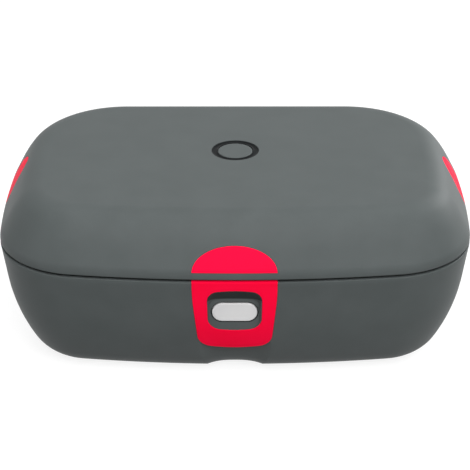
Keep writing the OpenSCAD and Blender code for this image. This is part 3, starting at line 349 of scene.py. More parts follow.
def rounded(p, r, steps=14):
    """Polygon with each corner rounded to its own radius."""
    out = []
    n = len(p)
    for k in range(n):
        c = Vector(p[k])
        u = (Vector(p[k - 1]) - c).normalized()
        v = (Vector(p[(k + 1) % n]) - c).normalized()
        if r[k] <= 0:
            out.append(tuple(c))
            continue
        half = math.acos(max(-1, min(1, u.dot(v)))) / 2
        m = c + (u + v).normalized() * r[k] / math.sin(half)
        turn = (1 if u.x * v.y - u.y * v.x < 0 else -1) * (math.pi - 2 * half)
        e = c + u * r[k] / math.tan(half) - m
        a0 = math.atan2(e.y, e.x)
        out += [(m.x + r[k] * math.cos(a0 + turn * j / steps), m.y + r[k] * math.sin(a0 + turn * j / steps))
                for j in range(steps + 1)]
    return out


def frame_outline(g):
    half = [(FRAME_FOOT_W / 2 + g, FRAME_FOOT_Z + FRAME_BOW - g), (FRAME_TOP_W / 2 + g, FRAME_KNEE_Z),
            (FRAME_TOP_W / 2 + g, BASE_TOP + g)]
    return rounded([(0, FRAME_FOOT_Z - g)] + half + [(-x, z) for x, z in half[::-1]],
                   [FRAME_BOW_R, FRAME_R + g, FRAME_KNEE_R, 0, 0, FRAME_KNEE_R, FRAME_R + g])


def box_outline(w, h, z, r, steps=14):
    x, low, high = w / 2, z - h / 2, z + h / 2
    return rounded([(-x, low), (x, low), (x, high), (-x, high)], [r] * 4, steps)


def recess_outline(g):
    w, low, high = RECESS_W / 2 + g, RECESS_Z - RECESS_H / 2 - g, RECESS_Z + RECESS_H / 2 + g
    foot, foot_r, top_r = w - RECESS_FOOT_IN, RECESS_FOOT_R + g, RECESS_TOP_R + g
    return rounded([(0, low), (foot, low + RECESS_BOW), (w, high - RECESS_BOW), (0, high),
                    (-w, high - RECESS_BOW), (-foot, low + RECESS_BOW)],
                   [RECESS_BOW_R, foot_r, top_r, RECESS_BOW_R, top_r, foot_r])


def button_outline(g):
    return box_outline(BUTTON_W + 2 * g, BUTTON_H + 2 * g, BUTTON_Z, BUTTON_H / 2 + g - 0.01)


def accent_outline(w, rise, g, n=48):
    a, b, z = w / 2 + g, rise + g, SEAM_Z + ACCENT_Z
    top = [(a * math.cos(math.pi * k / n), z + b * math.sin(math.pi * k / n)) for k in range(1, n)]
    low = n // 2
    return [(-a + 2 * a * k / low, z - g) for k in range(low + 1)] + top


def cast(poly, c, a):
    """Where a ray from c at angle a leaves a closed polygon around c."""
    dx, dy = math.cos(a), math.sin(a)
    best = None
    n = len(poly)
    for k in range(n):
        x0, y0 = poly[k][0] - c[0], poly[k][1] - c[1]
        x1, y1 = poly[(k + 1) % n][0] - c[0], poly[(k + 1) % n][1] - c[1]
        ex, ey = x1 - x0, y1 - y0
        det = dx * ey - dy * ex
        if abs(det) < 1e-12:
            continue
        t = (x0 * ey - y0 * ex) / det
        s = (x0 * dy - y0 * dx) / det
        if t > 0 and -1e-9 <= s <= 1 + 1e-9 and (best is None or t > best):
            best = t
    return (c[0] + dx * best, c[1] + dy * best)


def rays(c, corners=(), n=168):
    """Angles for casting, evenly spaced and also through given corner points."""
    angles = [2 * math.pi * k / n - math.pi for k in range(n)]
    for p in corners:
        angles.append(math.atan2(p[1] - c[1], p[0] - c[0]))
    angles.sort()
    out = []
    for a in angles:
        if not out or a - out[-1] > 1e-4:
            out.append(a)
    return out


def patch(name, points, c, place, thick, edge, rings=9):
    """Plate that lies on a surface: place(u, z, t) gives the point t below it. Its outer edge is rounded."""
    inner = grown(points, -edge)
    loops = []
    for k in range(1, rings + 1):
        f = k / rings
        loops.append(([(c[0] + (p[0] - c[0]) * f, c[1] + (p[1] - c[1]) * f) for p in inner], 0.0))
    loops += [(grown(points, -edge * v), edge * u) for u, v in quarter(4)[1:]]
    loops.append((points, thick))
    for f in (0.6, 0.2):
        loops.append(([(c[0] + (p[0] - c[0]) * f, c[1] + (p[1] - c[1]) * f) for p in points], thick))
    skins = [[place(p[0], p[1], t) for p in l] for l, t in loops]
    verts, faces = rings_mesh(skins, caps=False)
    n = len(points)
    verts.append(tuple(place(c[0], c[1], 0.0)))
    verts.append(tuple(place(c[0], c[1], thick)))
    a, b = len(verts) - 2, len(verts) - 1
    last = (len(skins) - 1) * n
    faces += [(a, k, (k + 1) % n) for k in range(n)]
    faces += [(last + (k + 1) % n, last + k, b) for k in range(n)]
    return outward(new_object(name, verts, faces))


def revolve(name, profile, centre=(0.0, 0.0), n=96, closed=True):
    cx, cy = centre
    turns = [2 * math.pi * k / n for k in range(n)]
    rings = [[(cx + r * math.cos(t), cy + r * math.sin(t), z) for t in turns] for r, z in profile]
    return skin(name, rings, closed=closed, caps=not closed)


# ---- Materials ----
def srgb(*c):
    def lin(v):
        v /= 255
        return v / 12.92 if v <= 0.04045 else ((v + 0.055) / 1.055) ** 2.4
    return tuple(lin(v) for v in c) + (1.0,)


GRAIN_SCALE, GRAIN_DEPTH = 900.0, 0.0001


def shader_node(nt, kind, **values):
    """New shader node with some of its inputs set; _ in a name stands for a space."""
    node = nt.nodes.new("ShaderNode" + kind)
    for key, value in values.items():
        node.inputs[key.replace("_", " ")].default_value = value
    return node


def material(name, light, dark, rough=0.45, metallic=0.0, scale=60.0, grain=0.0, rough_span=0.08,
             specular=0.5, stretch=(1, 1, 1)):
    """Two close tones mixed by noise, a varying roughness and a fine bump."""
    m = bpy.data.materials.new(name)
    m.use_nodes = True
    nt, link = m.node_tree, m.node_tree.links.new
    b = nt.nodes["Principled BSDF"]
    b.inputs["Metallic"].default_value = metallic
    b.inputs["Specular IOR Level"].default_value = specular
    place = shader_node(nt, "Mapping", Scale=stretch)
    link(shader_node(nt, "TexCoord").outputs["Object"], place.inputs["Vector"])
    noise = shader_node(nt, "TexNoise", Scale=scale, Detail=3.0)
    link(place.outputs["Vector"], noise.inputs["Vector"])
    ramp = shader_node(nt, "ValToRGB")
    for stop, at, tone in zip(ramp.color_ramp.elements, (0.3, 0.7), (dark, light)):
        stop.position, stop.color = at, tone
    link(noise.outputs["Fac"], ramp.inputs["Fac"])
    link(ramp.outputs["Color"], b.inputs["Base Color"])
    spread = shader_node(nt, "MapRange", To_Min=rough - rough_span / 2, To_Max=rough + rough_span / 2)
    link(noise.outputs["Fac"], spread.inputs["Value"])
    link(spread.outputs["Result"], b.inputs["Roughness"])
    if grain > 0:
        fine = shader_node(nt, "TexNoise", Scale=GRAIN_SCALE, Detail=2.0)
        link(place.outputs["Vector"], fine.inputs["Vector"])
        bump = shader_node(nt, "Bump", Strength=grain, Distance=GRAIN_DEPTH)
        link(fine.outputs["Fac"], bump.inputs["Height"])
        link(bump.outputs["Normal"], b.inputs["Normal"])
    return m


def painted_shade_above(m, z, soft, share):
    """Paint shade: scale the base colour down to a share of itself above height z, over a soft step."""
    nt, link = m.node_tree, m.node_tree.links.new
    b = nt.nodes["Principled BSDF"]
    colour = b.inputs["Base Color"].links[0].from_socket
    parts = shader_node(nt, "SeparateXYZ")
    link(shader_node(nt, "TexCoord").outputs["Object"], parts.inputs[0])
    step = shader_node(nt, "MapRange", From_Min=z * MM, From_Max=(z + soft) * MM, To_Min=1.0, To_Max=share)
    link(parts.outputs["Z"], step.inputs["Value"])
    scaled = shader_node(nt, "VectorMath")
    scaled.operation = "SCALE"
    link(colour, scaled.inputs[0])
    link(step.outputs["Result"], scaled.inputs["Scale"])
    link(scaled.outputs[0], b.inputs["Base Color"])


SHELL = material("shell_plastic", srgb(76, 81, 81), srgb(72, 77, 77), rough=0.5, grain=0.12, specular=0.12)
HOLLOW = material("recess_plastic", srgb(80, 85, 85), srgb(76, 81, 81), rough=0.7, grain=0.12, specular=0.03)
# Painted shadow: a dark colour laid round the button in place of the shadow in the gap around it
GAP_SHADOW_PAINT = material("painted_gap_shadow", srgb(44, 47, 47), srgb(40, 43, 43), rough=0.7, grain=0.12, specular=0.03)
RED = material("accent_plastic", srgb(252, 10, 60), srgb(248, 8, 56), rough=0.5, grain=0.05, specular=0.03)
PALE = material("button_plastic", srgb(202, 202, 202), srgb(197, 197, 198), rough=0.38, grain=0.04)
DARK = material("dark_plastic", srgb(44, 46, 46), srgb(38, 40, 40), rough=0.55, grain=0.2)
RING = material("ring_plastic", srgb(24, 26, 27), srgb(18, 20, 21), rough=0.35, specular=0.03)
STEEL = material("pressed_steel", srgb(204, 205, 207), srgb(200, 201, 203), rough=0.32, metallic=1.0,
                 scale=40, stretch=(1, 14, 14), rough_span=0.03)
BRIGHT = material("bright_steel", srgb(212, 212, 214), srgb(200, 200, 202), rough=0.2, metallic=1.0)
ALU = material("aluminium", srgb(188, 189, 191), srgb(182, 183, 185), rough=0.36, metallic=1.0, scale=260,
               rough_span=0.03)
MICA = material("mica", srgb(206, 164, 118), srgb(178, 134, 92), rough=0.6, scale=300)
FIBRE = material("fibre", srgb(226, 222, 210), srgb(204, 198, 184), rough=0.95, scale=500, grain=0.6)
CERAMIC = material("ceramic", srgb(232, 228, 216), srgb(222, 217, 204), rough=0.5)
BOARD = material("board", srgb(26, 98, 56), srgb(20, 84, 46), rough=0.4, scale=200)
BLUE = material("relay_case", srgb(40, 92, 158), srgb(34, 82, 146), rough=0.3)
COIL = material("coil_wrap", srgb(206, 172, 78), srgb(190, 154, 62), rough=0.5, scale=200)
BROWN = material("brown_lead", srgb(120, 66, 42), srgb(108, 58, 36), rough=0.5)
WHITE = material("white_lead", srgb(226, 223, 216), srgb(214, 210, 202), rough=0.5)
MAROON = material("red_lead", srgb(146, 40, 34), srgb(132, 34, 30), rough=0.5)
RUBBER = material("silicone", srgb(66, 67, 68), srgb(58, 59, 60), rough=0.7, grain=0.3)
GOLD = material("plated_contact", srgb(232, 192, 106), srgb(216, 174, 90), rough=0.25, metallic=1.0)
LED = material("led", srgb(240, 240, 226), srgb(228, 228, 212), rough=0.3)

FINISH = {
    "base_shell": SHELL, "lid_shell": SHELL, "latch_recess": HOLLOW, "power_button": SHELL,
    "latch_frame": RED, "lid_front_accent": RED, "lid_left_accent": RED, "lid_right_accent": RED,
    "latch_button": PALE, "latch_housing": DARK, "latch_slider": DARK, "latch_hook": DARK,
    "latch_springs": BRIGHT, "rim_frame": DARK, "rim_screws": BRIGHT, "heater_tray": ALU, "dish": STEEL,
    "heater_element": MICA, "heater_clamp": STEEL, "clamp_nuts": BRIGHT, "thermostat": CERAMIC,
    "thermal_fuse": CERAMIC, "temperature_sensor": DARK, "insulation_jacket": FIBRE, "insulation_pad": FIBRE,
    "control_board": BOARD, "board_screws": BRIGHT, "relay": BLUE, "transformer": COIL,
    "smoothing_capacitor": DARK, "terminal_block": BOARD, "power_inlet": DARK, "inlet_pins": BRIGHT,
    "mains_wires": BROWN, "heater_wires": WHITE, "sensor_wires": DARK, "contact_block": DARK,
    "contact_pins": GOLD, "feet": RUBBER, "hinge_pins": BRIGHT, "lid_liner": DARK, "lid_reflector": ALU,
    "lid_gasket": RUBBER, "lid_insulation": FIBRE, "lid_screws": BRIGHT, "light_ring": RING,
    "button_board": BOARD, "ring_leds": LED, "button_switch": DARK, "button_dome": RUBBER,
    "lid_contacts": GOLD, "lid_wires": MAROON,
}
for node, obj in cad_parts.items():
    for s in obj.material_slots:
        s.material = FINISH[node]


def dress(o, mat, body, node):
    """Give a piece its material and have it ride a body in place of a CAD node."""
    o.data.materials.clear()
    o.data.materials.append(mat)
    smooth(o, SHARP_ANGLE)
    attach(o, body)
    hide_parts(node)


# ---- Lower shell ----
def lip(rows_out, rows_in, z, s):
    """Rows of a wall, outside, over its rounded rim and inside. s is +1 for a rim facing up."""
    rim = [(EDGE * u, z - s * EDGE * v) for u, v in quarter(4)]
    rim += [(WALL - EDGE * v, z - s * EDGE * u) for u, v in quarter(4)]
    return rows_out[:0:-1] + rim + rows_in[1:]


def scoop_share(u):
    """Depth of the grip hollow across its width, from 0 at its edges (u = -1, 1) to 1 in the middle."""
    return 1 - abs(u) ** SCOOP_FADE


SCOOP_TOP = FRAME_FOOT_Z + SCOOP_RISE
SCOOP_BACK_TOP = FRAME_FOOT_Z + SCOOP_OVERLAP


def scoop_solid(name, extra, top):
    """The grip hollow as a solid that reaches past the front and the bottom, larger by extra."""
    rings = []
    n, levels = 48, 24
    under = [-3, 0.2, BASE_LOW + 0.01]
    for z in under + [BASE_LOW + (top - BASE_LOW) * k / levels for k in range(1, levels + 1)]:
        h = max(0.0, min(1.0, z / SCOOP_TOP))
        w = (SCOOP_FOOT_W + (SCOOP_TOP_W - SCOOP_FOOT_W) * math.sin(math.pi / 2 * h)) / 2 + extra
        level = max(z, BASE_LOW + 0.001)
        ring = []
        for k in range(n + 1):
            u = (-1 + 2 * k / n) * SCOOP_OVER
            x = w * u
            ring.append((x, front_point(BASE_ROWS, x, level).y + SCOOP_DEPTH * scoop_share(u) + extra, z))
        ring += [(w * SCOOP_OVER, FRONT_OUT - 2, z), (-w * SCOOP_OVER, FRONT_OUT - 2, z)]
        rings.append(ring)
    return skin(name, rings)


def pocket_outline(g):
    return box_outline(POCKET_W + 2 * g, POCKET_H + 2 * g, POCKET_Z, POCKET_R + g, 6)


def inner_solid(rows, below):
    """Everything that lies at least so far below a shell's outer surface."""
    return loft("tmp_inside", [(i + below, z) for i, z in rows])


POCKET_Y = BACK_AT - POCKET_DEEP
NOTCH_DEEP, ROW_GAP = 20, 0.2
base = loft("base_outer_shell", lip(BASE_ROWS, base_rows(WALL), BASE_TOP, 1))
for backing in (scoop_solid("tmp_backing", SCOOP_WALL, SCOOP_BACK_TOP),
                prism("tmp_pocket", pocket_outline(POCKET_GAP + WALL), 1, POCKET_Y - WALL, BACK_AT + 1)):
    combine(base, combine(backing, inner_solid(BASE_ROWS, INSIDE), "INTERSECT"), "UNION")
deep_rows = base_rows(WALL + 2 * FIT)
kept = loft("tmp_kept", [(inset_at(deep_rows, SCOOP_BACK_TOP)[0], SCOOP_BACK_TOP)]
            + [(i, z) for i, z in deep_rows if z < SCOOP_BACK_TOP - ROW_GAP])
notch = prism("tmp_notch", frame_outline(LINE), 1, FRONT_OUT, FRONT_AT + NOTCH_DEEP)
combine(notch, kept, "DIFFERENCE")
cut(base, notch, scoop_solid("tmp_scoop", 0.0, SCOOP_TOP),
    prism("tmp_pocket", pocket_outline(POCKET_GAP), 1, POCKET_Y, BACK_AT + 5),
    prism("tmp_inlet", box_outline(INLET_W, INLET_H, POCKET_Z, POCKET_R, 6), 1, POCKET_Y - 10, BACK_AT))


def circle(c, r, a0, a1, n):
    return [(c[0] + r * math.cos(a0 + (a1 - a0) * k / n), c[1] + r * math.sin(a0 + (a1 - a0) * k / n))
            for k in range(n + 1)]


def full_circle(c, r, n):
    return circle(c, r, 0, 2 * math.pi * (n - 1) / n, n - 1)


def knuckle_outline(side):
    """Side view of a knuckle with its arm, as (y, z); side is +1 on the lid and -1 on the base."""
    end_z = HINGE_Z + side * ARM_LEN
    inset = inset_at(LID_ROWS if side > 0 else BASE_ROWS, end_z)[0]
    dy, dz = BACK_AT - inset - WALL / 2 - HINGE_Y, end_z - HINGE_Z
    far, half = math.atan2(dz, dy), math.acos(KNUCKLE_R / math.hypot(dy, dz))
    arc_pts = circle((HINGE_Y, HINGE_Z), KNUCKLE_R - TUCK, far + half, far - half + 2 * math.pi, 30)
    return arc_pts + [(HINGE_Y + dy, HINGE_Z + dz)]


def rod(x, w, r):
    """Rod along the hinge's axis with its middle at x."""
    return prism("tmp_rod", full_circle((HINGE_Y, HINGE_Z), r, 48), 0, x - w / 2, x + w / 2)


def arm(side, x, w, play):
    """Knuckle with its arm into the wall, bored for the pin."""
    piece = prism("tmp_arm", knuckle_outline(side), 0, x - w / 2, x + w / 2, ARM_BEVEL)
    return combine(piece, rod(x, w + 2, PIN_R + play), "DIFFERENCE")


def post(x, y, r, z0, z1):
    return skin("tmp_post", [[(px, py, z) for px, py in full_circle((x, y), r, 32)] for z in (z0, z1)])


def trimmed(pieces, rows):
    """Inner posts cut off a little below the shell's outer surface."""
    return [combine(p, inner_solid(rows, POST_INSIDE), "INTERSECT") for p in pieces]


def relief(x, w):
    """Room around a knuckle of the other shell."""
    return rod(x, w + 2 * FIT, KNUCKLE_R + FIT + KNUCKLE_PLAY)


SIDE_XS = [s * HINGE_X + e * (KNUCKLE_W / 2 + FIT + SIDE_KNUCKLE_W / 2) for s in (-1, 1) for e in (-1, 1)]
cut(base, *[relief(s * HINGE_X, KNUCKLE_W) for s in (-1, 1)])
POST_LOW = BASE_LOW + 1
RIM_LOW, PAD_LOW, TRAY_Y = BASE_TOP - 4.0, 18.2, MID_Y - 3.0
POST_R, STUD_X, STUD_Y = 4.0, 60.0, 34
RIM_POST_X, RIM_POST_YS = HALF_W - 33.5, (FRONT_AT + 29, BACK_AT - 33)
UPRIGHT_X, UPRIGHT_Y, UPRIGHT_HIGH = -HALF_W + 19, 28, 56.0
UPRIGHT_T, UPRIGHT_HALF, UPRIGHT_EDGE = 5, 3, 0.3
upright = [(UPRIGHT_X, POST_LOW), (UPRIGHT_X + UPRIGHT_T, POST_LOW),
           (UPRIGHT_X + UPRIGHT_T, UPRIGHT_HIGH), (UPRIGHT_X, UPRIGHT_HIGH)]
inner = []
for s in (-1, 1):
    inner += [post(s * RIM_POST_X, y, POST_R, POST_LOW, RIM_LOW) for y in RIM_POST_YS]
    inner += [post(s * STUD_X, TRAY_Y + y, POST_R, POST_LOW, PAD_LOW) for y in (-STUD_Y, STUD_Y)]
    inner.append(prism("tmp_upright", upright, 1, s * UPRIGHT_Y - UPRIGHT_HALF, s * UPRIGHT_Y + UPRIGHT_HALF,
                       UPRIGHT_EDGE))
join(base, *trimmed(inner, BASE_ROWS), *[arm(-1, x, SIDE_KNUCKLE_W, PIN_HELD) for x in SIDE_XS])
dress(base, SHELL, "root", "base_shell")

# ---- Lid shell ----
lid = loft("lid_outer_shell", lip(LID_ROWS, lid_rows(WALL), LID_LOW, -1))


def lid_front(u, z, t):
    return front_point(LID_ROWS, u, z, t)


def lid_left(u, z, t):
    return side_point(LID_ROWS, -1, u, z, t)


def lid_right(u, z, t):
    return side_point(LID_ROWS, 1, u, z, t)


ACCENTS = [("lid_front_accent", 0.0, lid_front, ACCENT_W, ACCENT_RISE),
           ("lid_left_accent", MID_Y + SIDE_ACCENT_Y, lid_left, SIDE_ACCENT_W, SIDE_ACCENT_RISE),
           ("lid_right_accent", MID_Y + SIDE_ACCENT_Y, lid_right, SIDE_ACCENT_W, SIDE_ACCENT_RISE)]


def shifted_place(place, du, dt):
    return lambda u, z, t: place(u + du, z, t + dt)


ACCENT_MID, CUT_ABOVE, CUT_EDGE = 0.42, 1.0, 0.01
for node, at, place, w, rise in ACCENTS:
    mid = (0.0, SEAM_Z + ACCENT_Z + rise * ACCENT_MID)
    above, on = shifted_place(place, at, -CUT_ABOVE), shifted_place(place, at, 0.0)
    cut(lid, patch("tmp_cut", accent_outline(w, rise, LINE), mid, above, ACCENT_T + CUT_ABOVE, CUT_EDGE))
    piece = patch(node + "_skin", accent_outline(w, rise, 0), mid, on, ACCENT_T, ACCENT_EDGE)
    dress(piece, RED, "lid", node)

RING_PLAY = 0.05
ring_hole = [(RING_D / 2 + RING_PLAY, z) for z in (BODY_H - 6, BODY_H + 4)]
cut(lid, revolve("tmp_ring", ring_hole, (0, RING_AT), closed=False),
    *[relief(x, SIDE_KNUCKLE_W) for x in SIDE_XS])
LINER_TOP, BUTTON_BOARD_TOP, LID_POST_TOP = 79.0, 94.65, BODY_H - 1
LID_POST_X, LID_POST_YS = HALF_W - 42, (FRONT_AT + 34, BACK_AT - 40)
BOARD_POST_X, BOARD_POST_R = 19.0, 2.5
inner = []
for s in (-1, 1):
    inner += [post(s * LID_POST_X, y, POST_R, LINER_TOP, LID_POST_TOP) for y in LID_POST_YS]
    inner.append(post(s * BOARD_POST_X, RING_AT, BOARD_POST_R, BUTTON_BOARD_TOP, LID_POST_TOP))
join(lid, *trimmed(inner, LID_ROWS), *[arm(1, s * HINGE_X, KNUCKLE_W, PIN_FREE) for s in (-1, 1)])
dress(lid, SHELL, "lid", "lid_shell")

# ---- Light ring and cap ----
R0, R1 = RING_BORE / 2, RING_D / 2
LIP_UP, RING_EDGE, RING_DISH = 0.25, 0.15, 0.35  # the ring's top lies below the lid's and is dished
LID_IN, FLANGE, FLANGE_T, FLANGE_GAP = BODY_H - WALL, 1.4, 1.4, 0.02
RING_LOW, RING_TOP = LID_IN - FLANGE_T, BODY_H - LIP_UP
profile = [(R1 + FLANGE, RING_LOW), (R1 + FLANGE, LID_IN - FLANGE_GAP), (R1, LID_IN - FLANGE_GAP),
           (R1, RING_TOP - RING_EDGE), (R1 - RING_EDGE, RING_TOP)]
profile += [(R1 - RING_EDGE - (R1 - R0 - 2 * RING_EDGE) * t, RING_TOP - RING_DISH * math.sin(math.pi * t))
            for t in [k / 8 for k in range(1, 8)]]
profile += [(R0 + RING_EDGE, RING_TOP), (R0, RING_TOP - RING_EDGE), (R0, RING_LOW)]
ring = revolve("light_ring_lens", profile, (0, RING_AT))
dress(ring, RING, "lid", "light_ring")
CAP_R, CAP_TOP, CAP_EDGE, CAP_DISH = R0 - FIT, BODY_H - 0.3, 0.4, 0.12
CAP_FLANGE, CAP_FLANGE_T = 1.6, 1.5
CAP_FLANGE_R, CAP_FLANGE_TOP = CAP_R + CAP_FLANGE, RING_LOW - FIT
CAP_LOW = CAP_FLANGE_TOP - CAP_FLANGE_T
NUB_R, NUB_H = 2.0, 1.4
profile = [(NUB_R, CAP_LOW - NUB_H), (NUB_R, CAP_LOW), (CAP_FLANGE_R, CAP_LOW),
           (CAP_FLANGE_R, CAP_FLANGE_TOP), (CAP_R, CAP_FLANGE_TOP)]
profile += [(CAP_R - CAP_EDGE * u, CAP_TOP - CAP_EDGE * v) for u, v in quarter(4)]
profile += [(r, CAP_TOP - CAP_DISH * (1 - (r / CAP_R) ** 2)) for r in (8.0, 5.0, 2.0)]
cap = revolve("power_button_cap", profile, (0, RING_AT), closed=False)
dress(cap, SHELL, "power_button", "power_button")

# ---- Latch frame, recess and button ----
FC = (0.0, RECESS_Z - 2)
angles = rays(FC, [(FRAME_TOP_W / 2, BASE_TOP), (-FRAME_TOP_W / 2, BASE_TOP)])


def loops(outline_at, c, turns):
    """Function of g that gives an outline, moved outward by g, as one point per angle around c."""
    return lambda g: [cast(outline_at(g), c, a) for a in turns]


def on_base(loop, t):
    return [front_point(BASE_ROWS, x, min(z, BASE_TOP), t) for x, z in loop]


def between(a, b, f):
    return [tuple(p + (q - p) * f for p, q in zip(u, v)) for u, v in zip(a, b)]


outer_loop, hole_edge = loops(frame_outline, FC, angles), loops(recess_outline, FC, angles)
rings = [on_base(outer_loop(-SOFT * u), SOFT * v) for u, v in quarter(4)]
rings += [on_base(between(outer_loop(-SOFT), hole_edge(LINE + SOFT), k / 12), 0) for k in range(1, 12)]
rings += [on_base(hole_edge(LINE + SOFT * v), SOFT * u) for u, v in quarter(4)]
rings += [on_base(hole_edge(LINE), WALL), on_base(outer_loop(0), WALL)]
red = skin("latch_frame_skin", rings, closed=True)
dress(red, RED, "root", "latch_frame")

# Recess: its floor is an upright plane that runs out into the surface at the lower edge
HOLD = RECESS_Z - RECESS_H / 2 + RECESS_WALL
FLOOR_Y = front_point(BASE_ROWS, 0, HOLD).y + LINE
FLOOR_T, FLOOR_TURN = 2.0, 1.3
# Rows of the rim's rounding, as (outward, below the surface)
RIM_ROLL = [(0, 0.25), (-0.06, 0.06), (-0.2, 0.0), (-0.4, 0.03), (-0.55, 0.15)]
GAP_SHADOW_W, GAP_SHADOW_SHARE = 0.45, 0.9  # width of the painted shadow band round the button, standing for the shadow in its gap; a face within this share of it is painted dark
SHRINK = 1 - RECESS_SLOPE / (RECESS_H - 2 * RECESS_WALL)
FLOOR_HIGH = HOLD + (RECESS_Z + RECESS_H / 2 - RECESS_WALL - HOLD) * SHRINK
RC = (0.0, RECESS_Z - 3)
angles_r = rays(RC)


def floor_outline(g):
    return [(x, HOLD - g * 0.3 + (z - HOLD) * SHRINK) for x, z in recess_outline(g - RECESS_WALL)]


def deep(loop, y, least=0.1):
    return [(x, max(y, front_point(BASE_ROWS, x, z).y + least), z) for x, z in loop]


rim_edge, floor_edge = loops(recess_outline, RC, angles_r), loops(floor_outline, RC, angles_r)
hole = loops(button_outline, RC, angles_r)
rings = [on_base(rim_edge(g), t) for g, t in RIM_ROLL]
top = [tuple(p) for p in rings[-1]]
corner = deep(floor_edge(0), FLOOR_Y)
flat = deep(floor_edge(-FLOOR_TURN), FLOOR_Y)
turn = between(top, corner, 0.8)
rings += [between(top, turn, k / 4) for k in range(1, 5)]
rings += [between(between(turn, corner, k / 6), between(corner, flat, k / 6), k / 6) for k in range(1, 7)]
a, b = floor_edge(-FLOOR_TURN), hole(FIT + GAP_SHADOW_W)
rings += [deep(between(a, b, k / 6), FLOOR_Y) for k in range(1, 7)]
rings += [deep(hole(FIT + 0.1), FLOOR_Y + 0.1), deep(hole(FIT), FLOOR_Y + 0.3),
          deep(hole(FIT), FLOOR_Y + FLOOR_T), deep(rim_edge(-0.3), FLOOR_Y + FLOOR_T, 1.2)]
bowl = skin("latch_recess_bowl", rings, closed=True)
dress(bowl, HOLLOW, "root", "latch_recess")
# Painted shade: the recess's upper slope, above this height, is darkened to 0.4 of its colour in place of the
# shadow under the recess's upper rim.
painted_shade_above(HOLLOW, z=FLOOR_HIGH - 0.6, soft=0.7, share=0.4)
# Painted shadow: floor faces close round the button take the dark colour, standing for the gap's shadow.
bowl.data.materials.append(GAP_SHADOW_PAINT)
for p in bowl.data.polygons:
    x, z = p.center.x / MM, p.center.z / MM
    from_button = math.hypot(max(abs(x) - (BUTTON_W - BUTTON_H) / 2, 0), z - BUTTON_Z) - BUTTON_H / 2
    if from_button < FIT + GAP_SHADOW_W * GAP_SHADOW_SHARE:
        p.material_index = 1

BUTTON_EDGE, BUTTON_BEHIND = 0.5, 1.2
BC = (0.0, BUTTON_Z)
button = loops(button_outline, BC, rays(BC))
FACE_Y = FLOOR_Y - BUTTON_PROUD
rings = [[(x, FLOOR_Y + FLOOR_T + BUTTON_BEHIND + FIT, z) for x, z in button(0)]]
rings += [[(x, FACE_Y + BUTTON_EDGE * v, z) for x, z in button(-BUTTON_EDGE * u)] for u, v in quarter(6)]
face = button(-BUTTON_EDGE)
rings += [[(x * f, FACE_Y, BUTTON_Z + (z - BUTTON_Z) * f) for x, z in face]
          for f in (0.85, 0.6, 0.4, 0.2, 0.02)]
push = skin("latch_button_cap", rings)
dress(push, PALE, "latch", "latch_button")

# ---- Studio ----
FLOOR_HALF, FLOOR_GREY, FLOOR_GLOW, SKY = 4000, 0.2, 0.84, 0.25
MIDDLE = Vector((0, 0, 0.05))


def seen_ray(nt):
    """1 for camera, glossy and transmission rays, the ones that show the background."""
    path = shader_node(nt, "LightPath")
    seen = path.outputs["Is Camera Ray"]
    for ray in ("Is Glossy Ray", "Is Transmission Ray"):
        larger = shader_node(nt, "Math")
        larger.operation = "MAXIMUM"
        nt.links.new(seen, larger.inputs[0])
        nt.links.new(path.outputs[ray], larger.inputs[1])
        seen = larger.outputs[0]
    return seen


def show_when_seen(nt, plain, seen, output):
    """Send one shader to the output, and another where the background is seen."""
    mix = shader_node(nt, "MixShader")
    nt.links.new(seen_ray(nt), mix.inputs["Fac"])
    nt.links.new(plain.outputs[0], mix.inputs[1])
    nt.links.new(seen.outputs[0], mix.inputs[2])
    nt.links.new(mix.outputs[0], nt.nodes[output].inputs["Surface"])


corners = [(-1, -1), (1, -1), (1, 1), (-1, 1)]
floor = new_object("floor", [(x * FLOOR_HALF, y * FLOOR_HALF, 0) for x, y in corners], [(0, 1, 2, 3)])
fm = bpy.data.materials.new("floor")
fm.use_nodes = True
nt = fm.node_tree
bs = nt.nodes["Principled BSDF"]
bs.inputs["Base Color"].default_value = (FLOOR_GREY, FLOOR_GREY, FLOOR_GREY, 1)
bs.inputs["Roughness"].default_value = 0.9
glowing = shader_node(nt, "AddShader")
nt.links.new(bs.outputs[0], glowing.inputs[0])
nt.links.new(shader_node(nt, "Emission", Strength=FLOOR_GLOW).outputs[0], glowing.inputs[1])
show_when_seen(nt, bs, glowing, "Material Output")
floor.data.materials.append(fm)

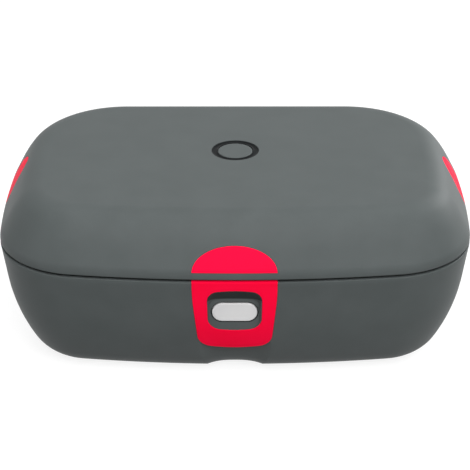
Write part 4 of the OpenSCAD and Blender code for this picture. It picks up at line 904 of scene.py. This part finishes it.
world = bpy.data.worlds.new("studio")
bpy.context.scene.world = world
world.use_nodes = True
nt = world.node_tree
bg = nt.nodes["Background"]
bg.inputs["Color"].default_value = (1, 1, 1, 1)
bg.inputs["Strength"].default_value = SKY
show_when_seen(nt, bg, shader_node(nt, "Background", Color=(1, 1, 1, 1)), "World Output")


def area(name, at, size, power):
    """Soft light aimed at the middle of the box."""
    l = bpy.data.lights.new(name, "AREA")
    l.shape = "RECTANGLE"
    l.size, l.size_y = size
    l.energy = power
    o = bpy.data.objects.new(name, l)
    o.location = at
    o.rotation_euler = (MIDDLE - Vector(at)).to_track_quat("-Z", "Y").to_euler()
    bpy.context.scene.collection.objects.link(o)


area("back_right", (1.3, 1.0, 0.7), (1.0, 0.8), 20.0)
area("left_low", (-1.6, -0.5, 0.3), (0.8, 0.5), 3.0)
area("front_right", (1.1, -1.2, 0.8), (1.0, 0.8), 12.0)
area("front_high", (0.0, -1.2, 1.3), (1.2, 0.8), 21.0)
area("top", (0.0, 0.0, 1.6), (1.2, 1.2), 14.0)

# ---- Camera, from the fit of the box's outline to the photograph ----
LOOK = Vector((0.0, -2.8, 52.12)) * MM
ELEVATION, DISTANCE, FOCAL, SIDEWAYS, ROLL = rad(27.914), 985.32 * MM, 123.97, 5.16 * MM, rad(-0.16)
SHIFT_PX, PHOTO_PX = -0.386, 470
cam_data = bpy.data.cameras.new("camera")
cam_data.sensor_width = 36.0
cam_data.sensor_fit = "HORIZONTAL"
cam_data.lens = FOCAL
cam_data.shift_x = SHIFT_PX / PHOTO_PX
cam = bpy.data.objects.new("camera", cam_data)
bpy.context.scene.collection.objects.link(cam)
bpy.context.scene.camera = cam
YAW = math.asin(SIDEWAYS / (DISTANCE * math.cos(ELEVATION)))
spot = LOOK + DISTANCE * Vector((math.cos(ELEVATION) * math.sin(YAW), -math.cos(ELEVATION) * math.cos(YAW),
                                 math.sin(ELEVATION)))
forward = (LOOK - spot).normalized()
right = forward.cross(Vector((0, 0, 1))).normalized()
up = right.cross(forward)
m = Matrix((right, up, -forward)).transposed().to_4x4()
cam.matrix_world = Matrix.Translation(spot) @ m @ Matrix.Rotation(ROLL, 4, "Z")

bpy.context.scene.view_settings.view_transform = "Standard"
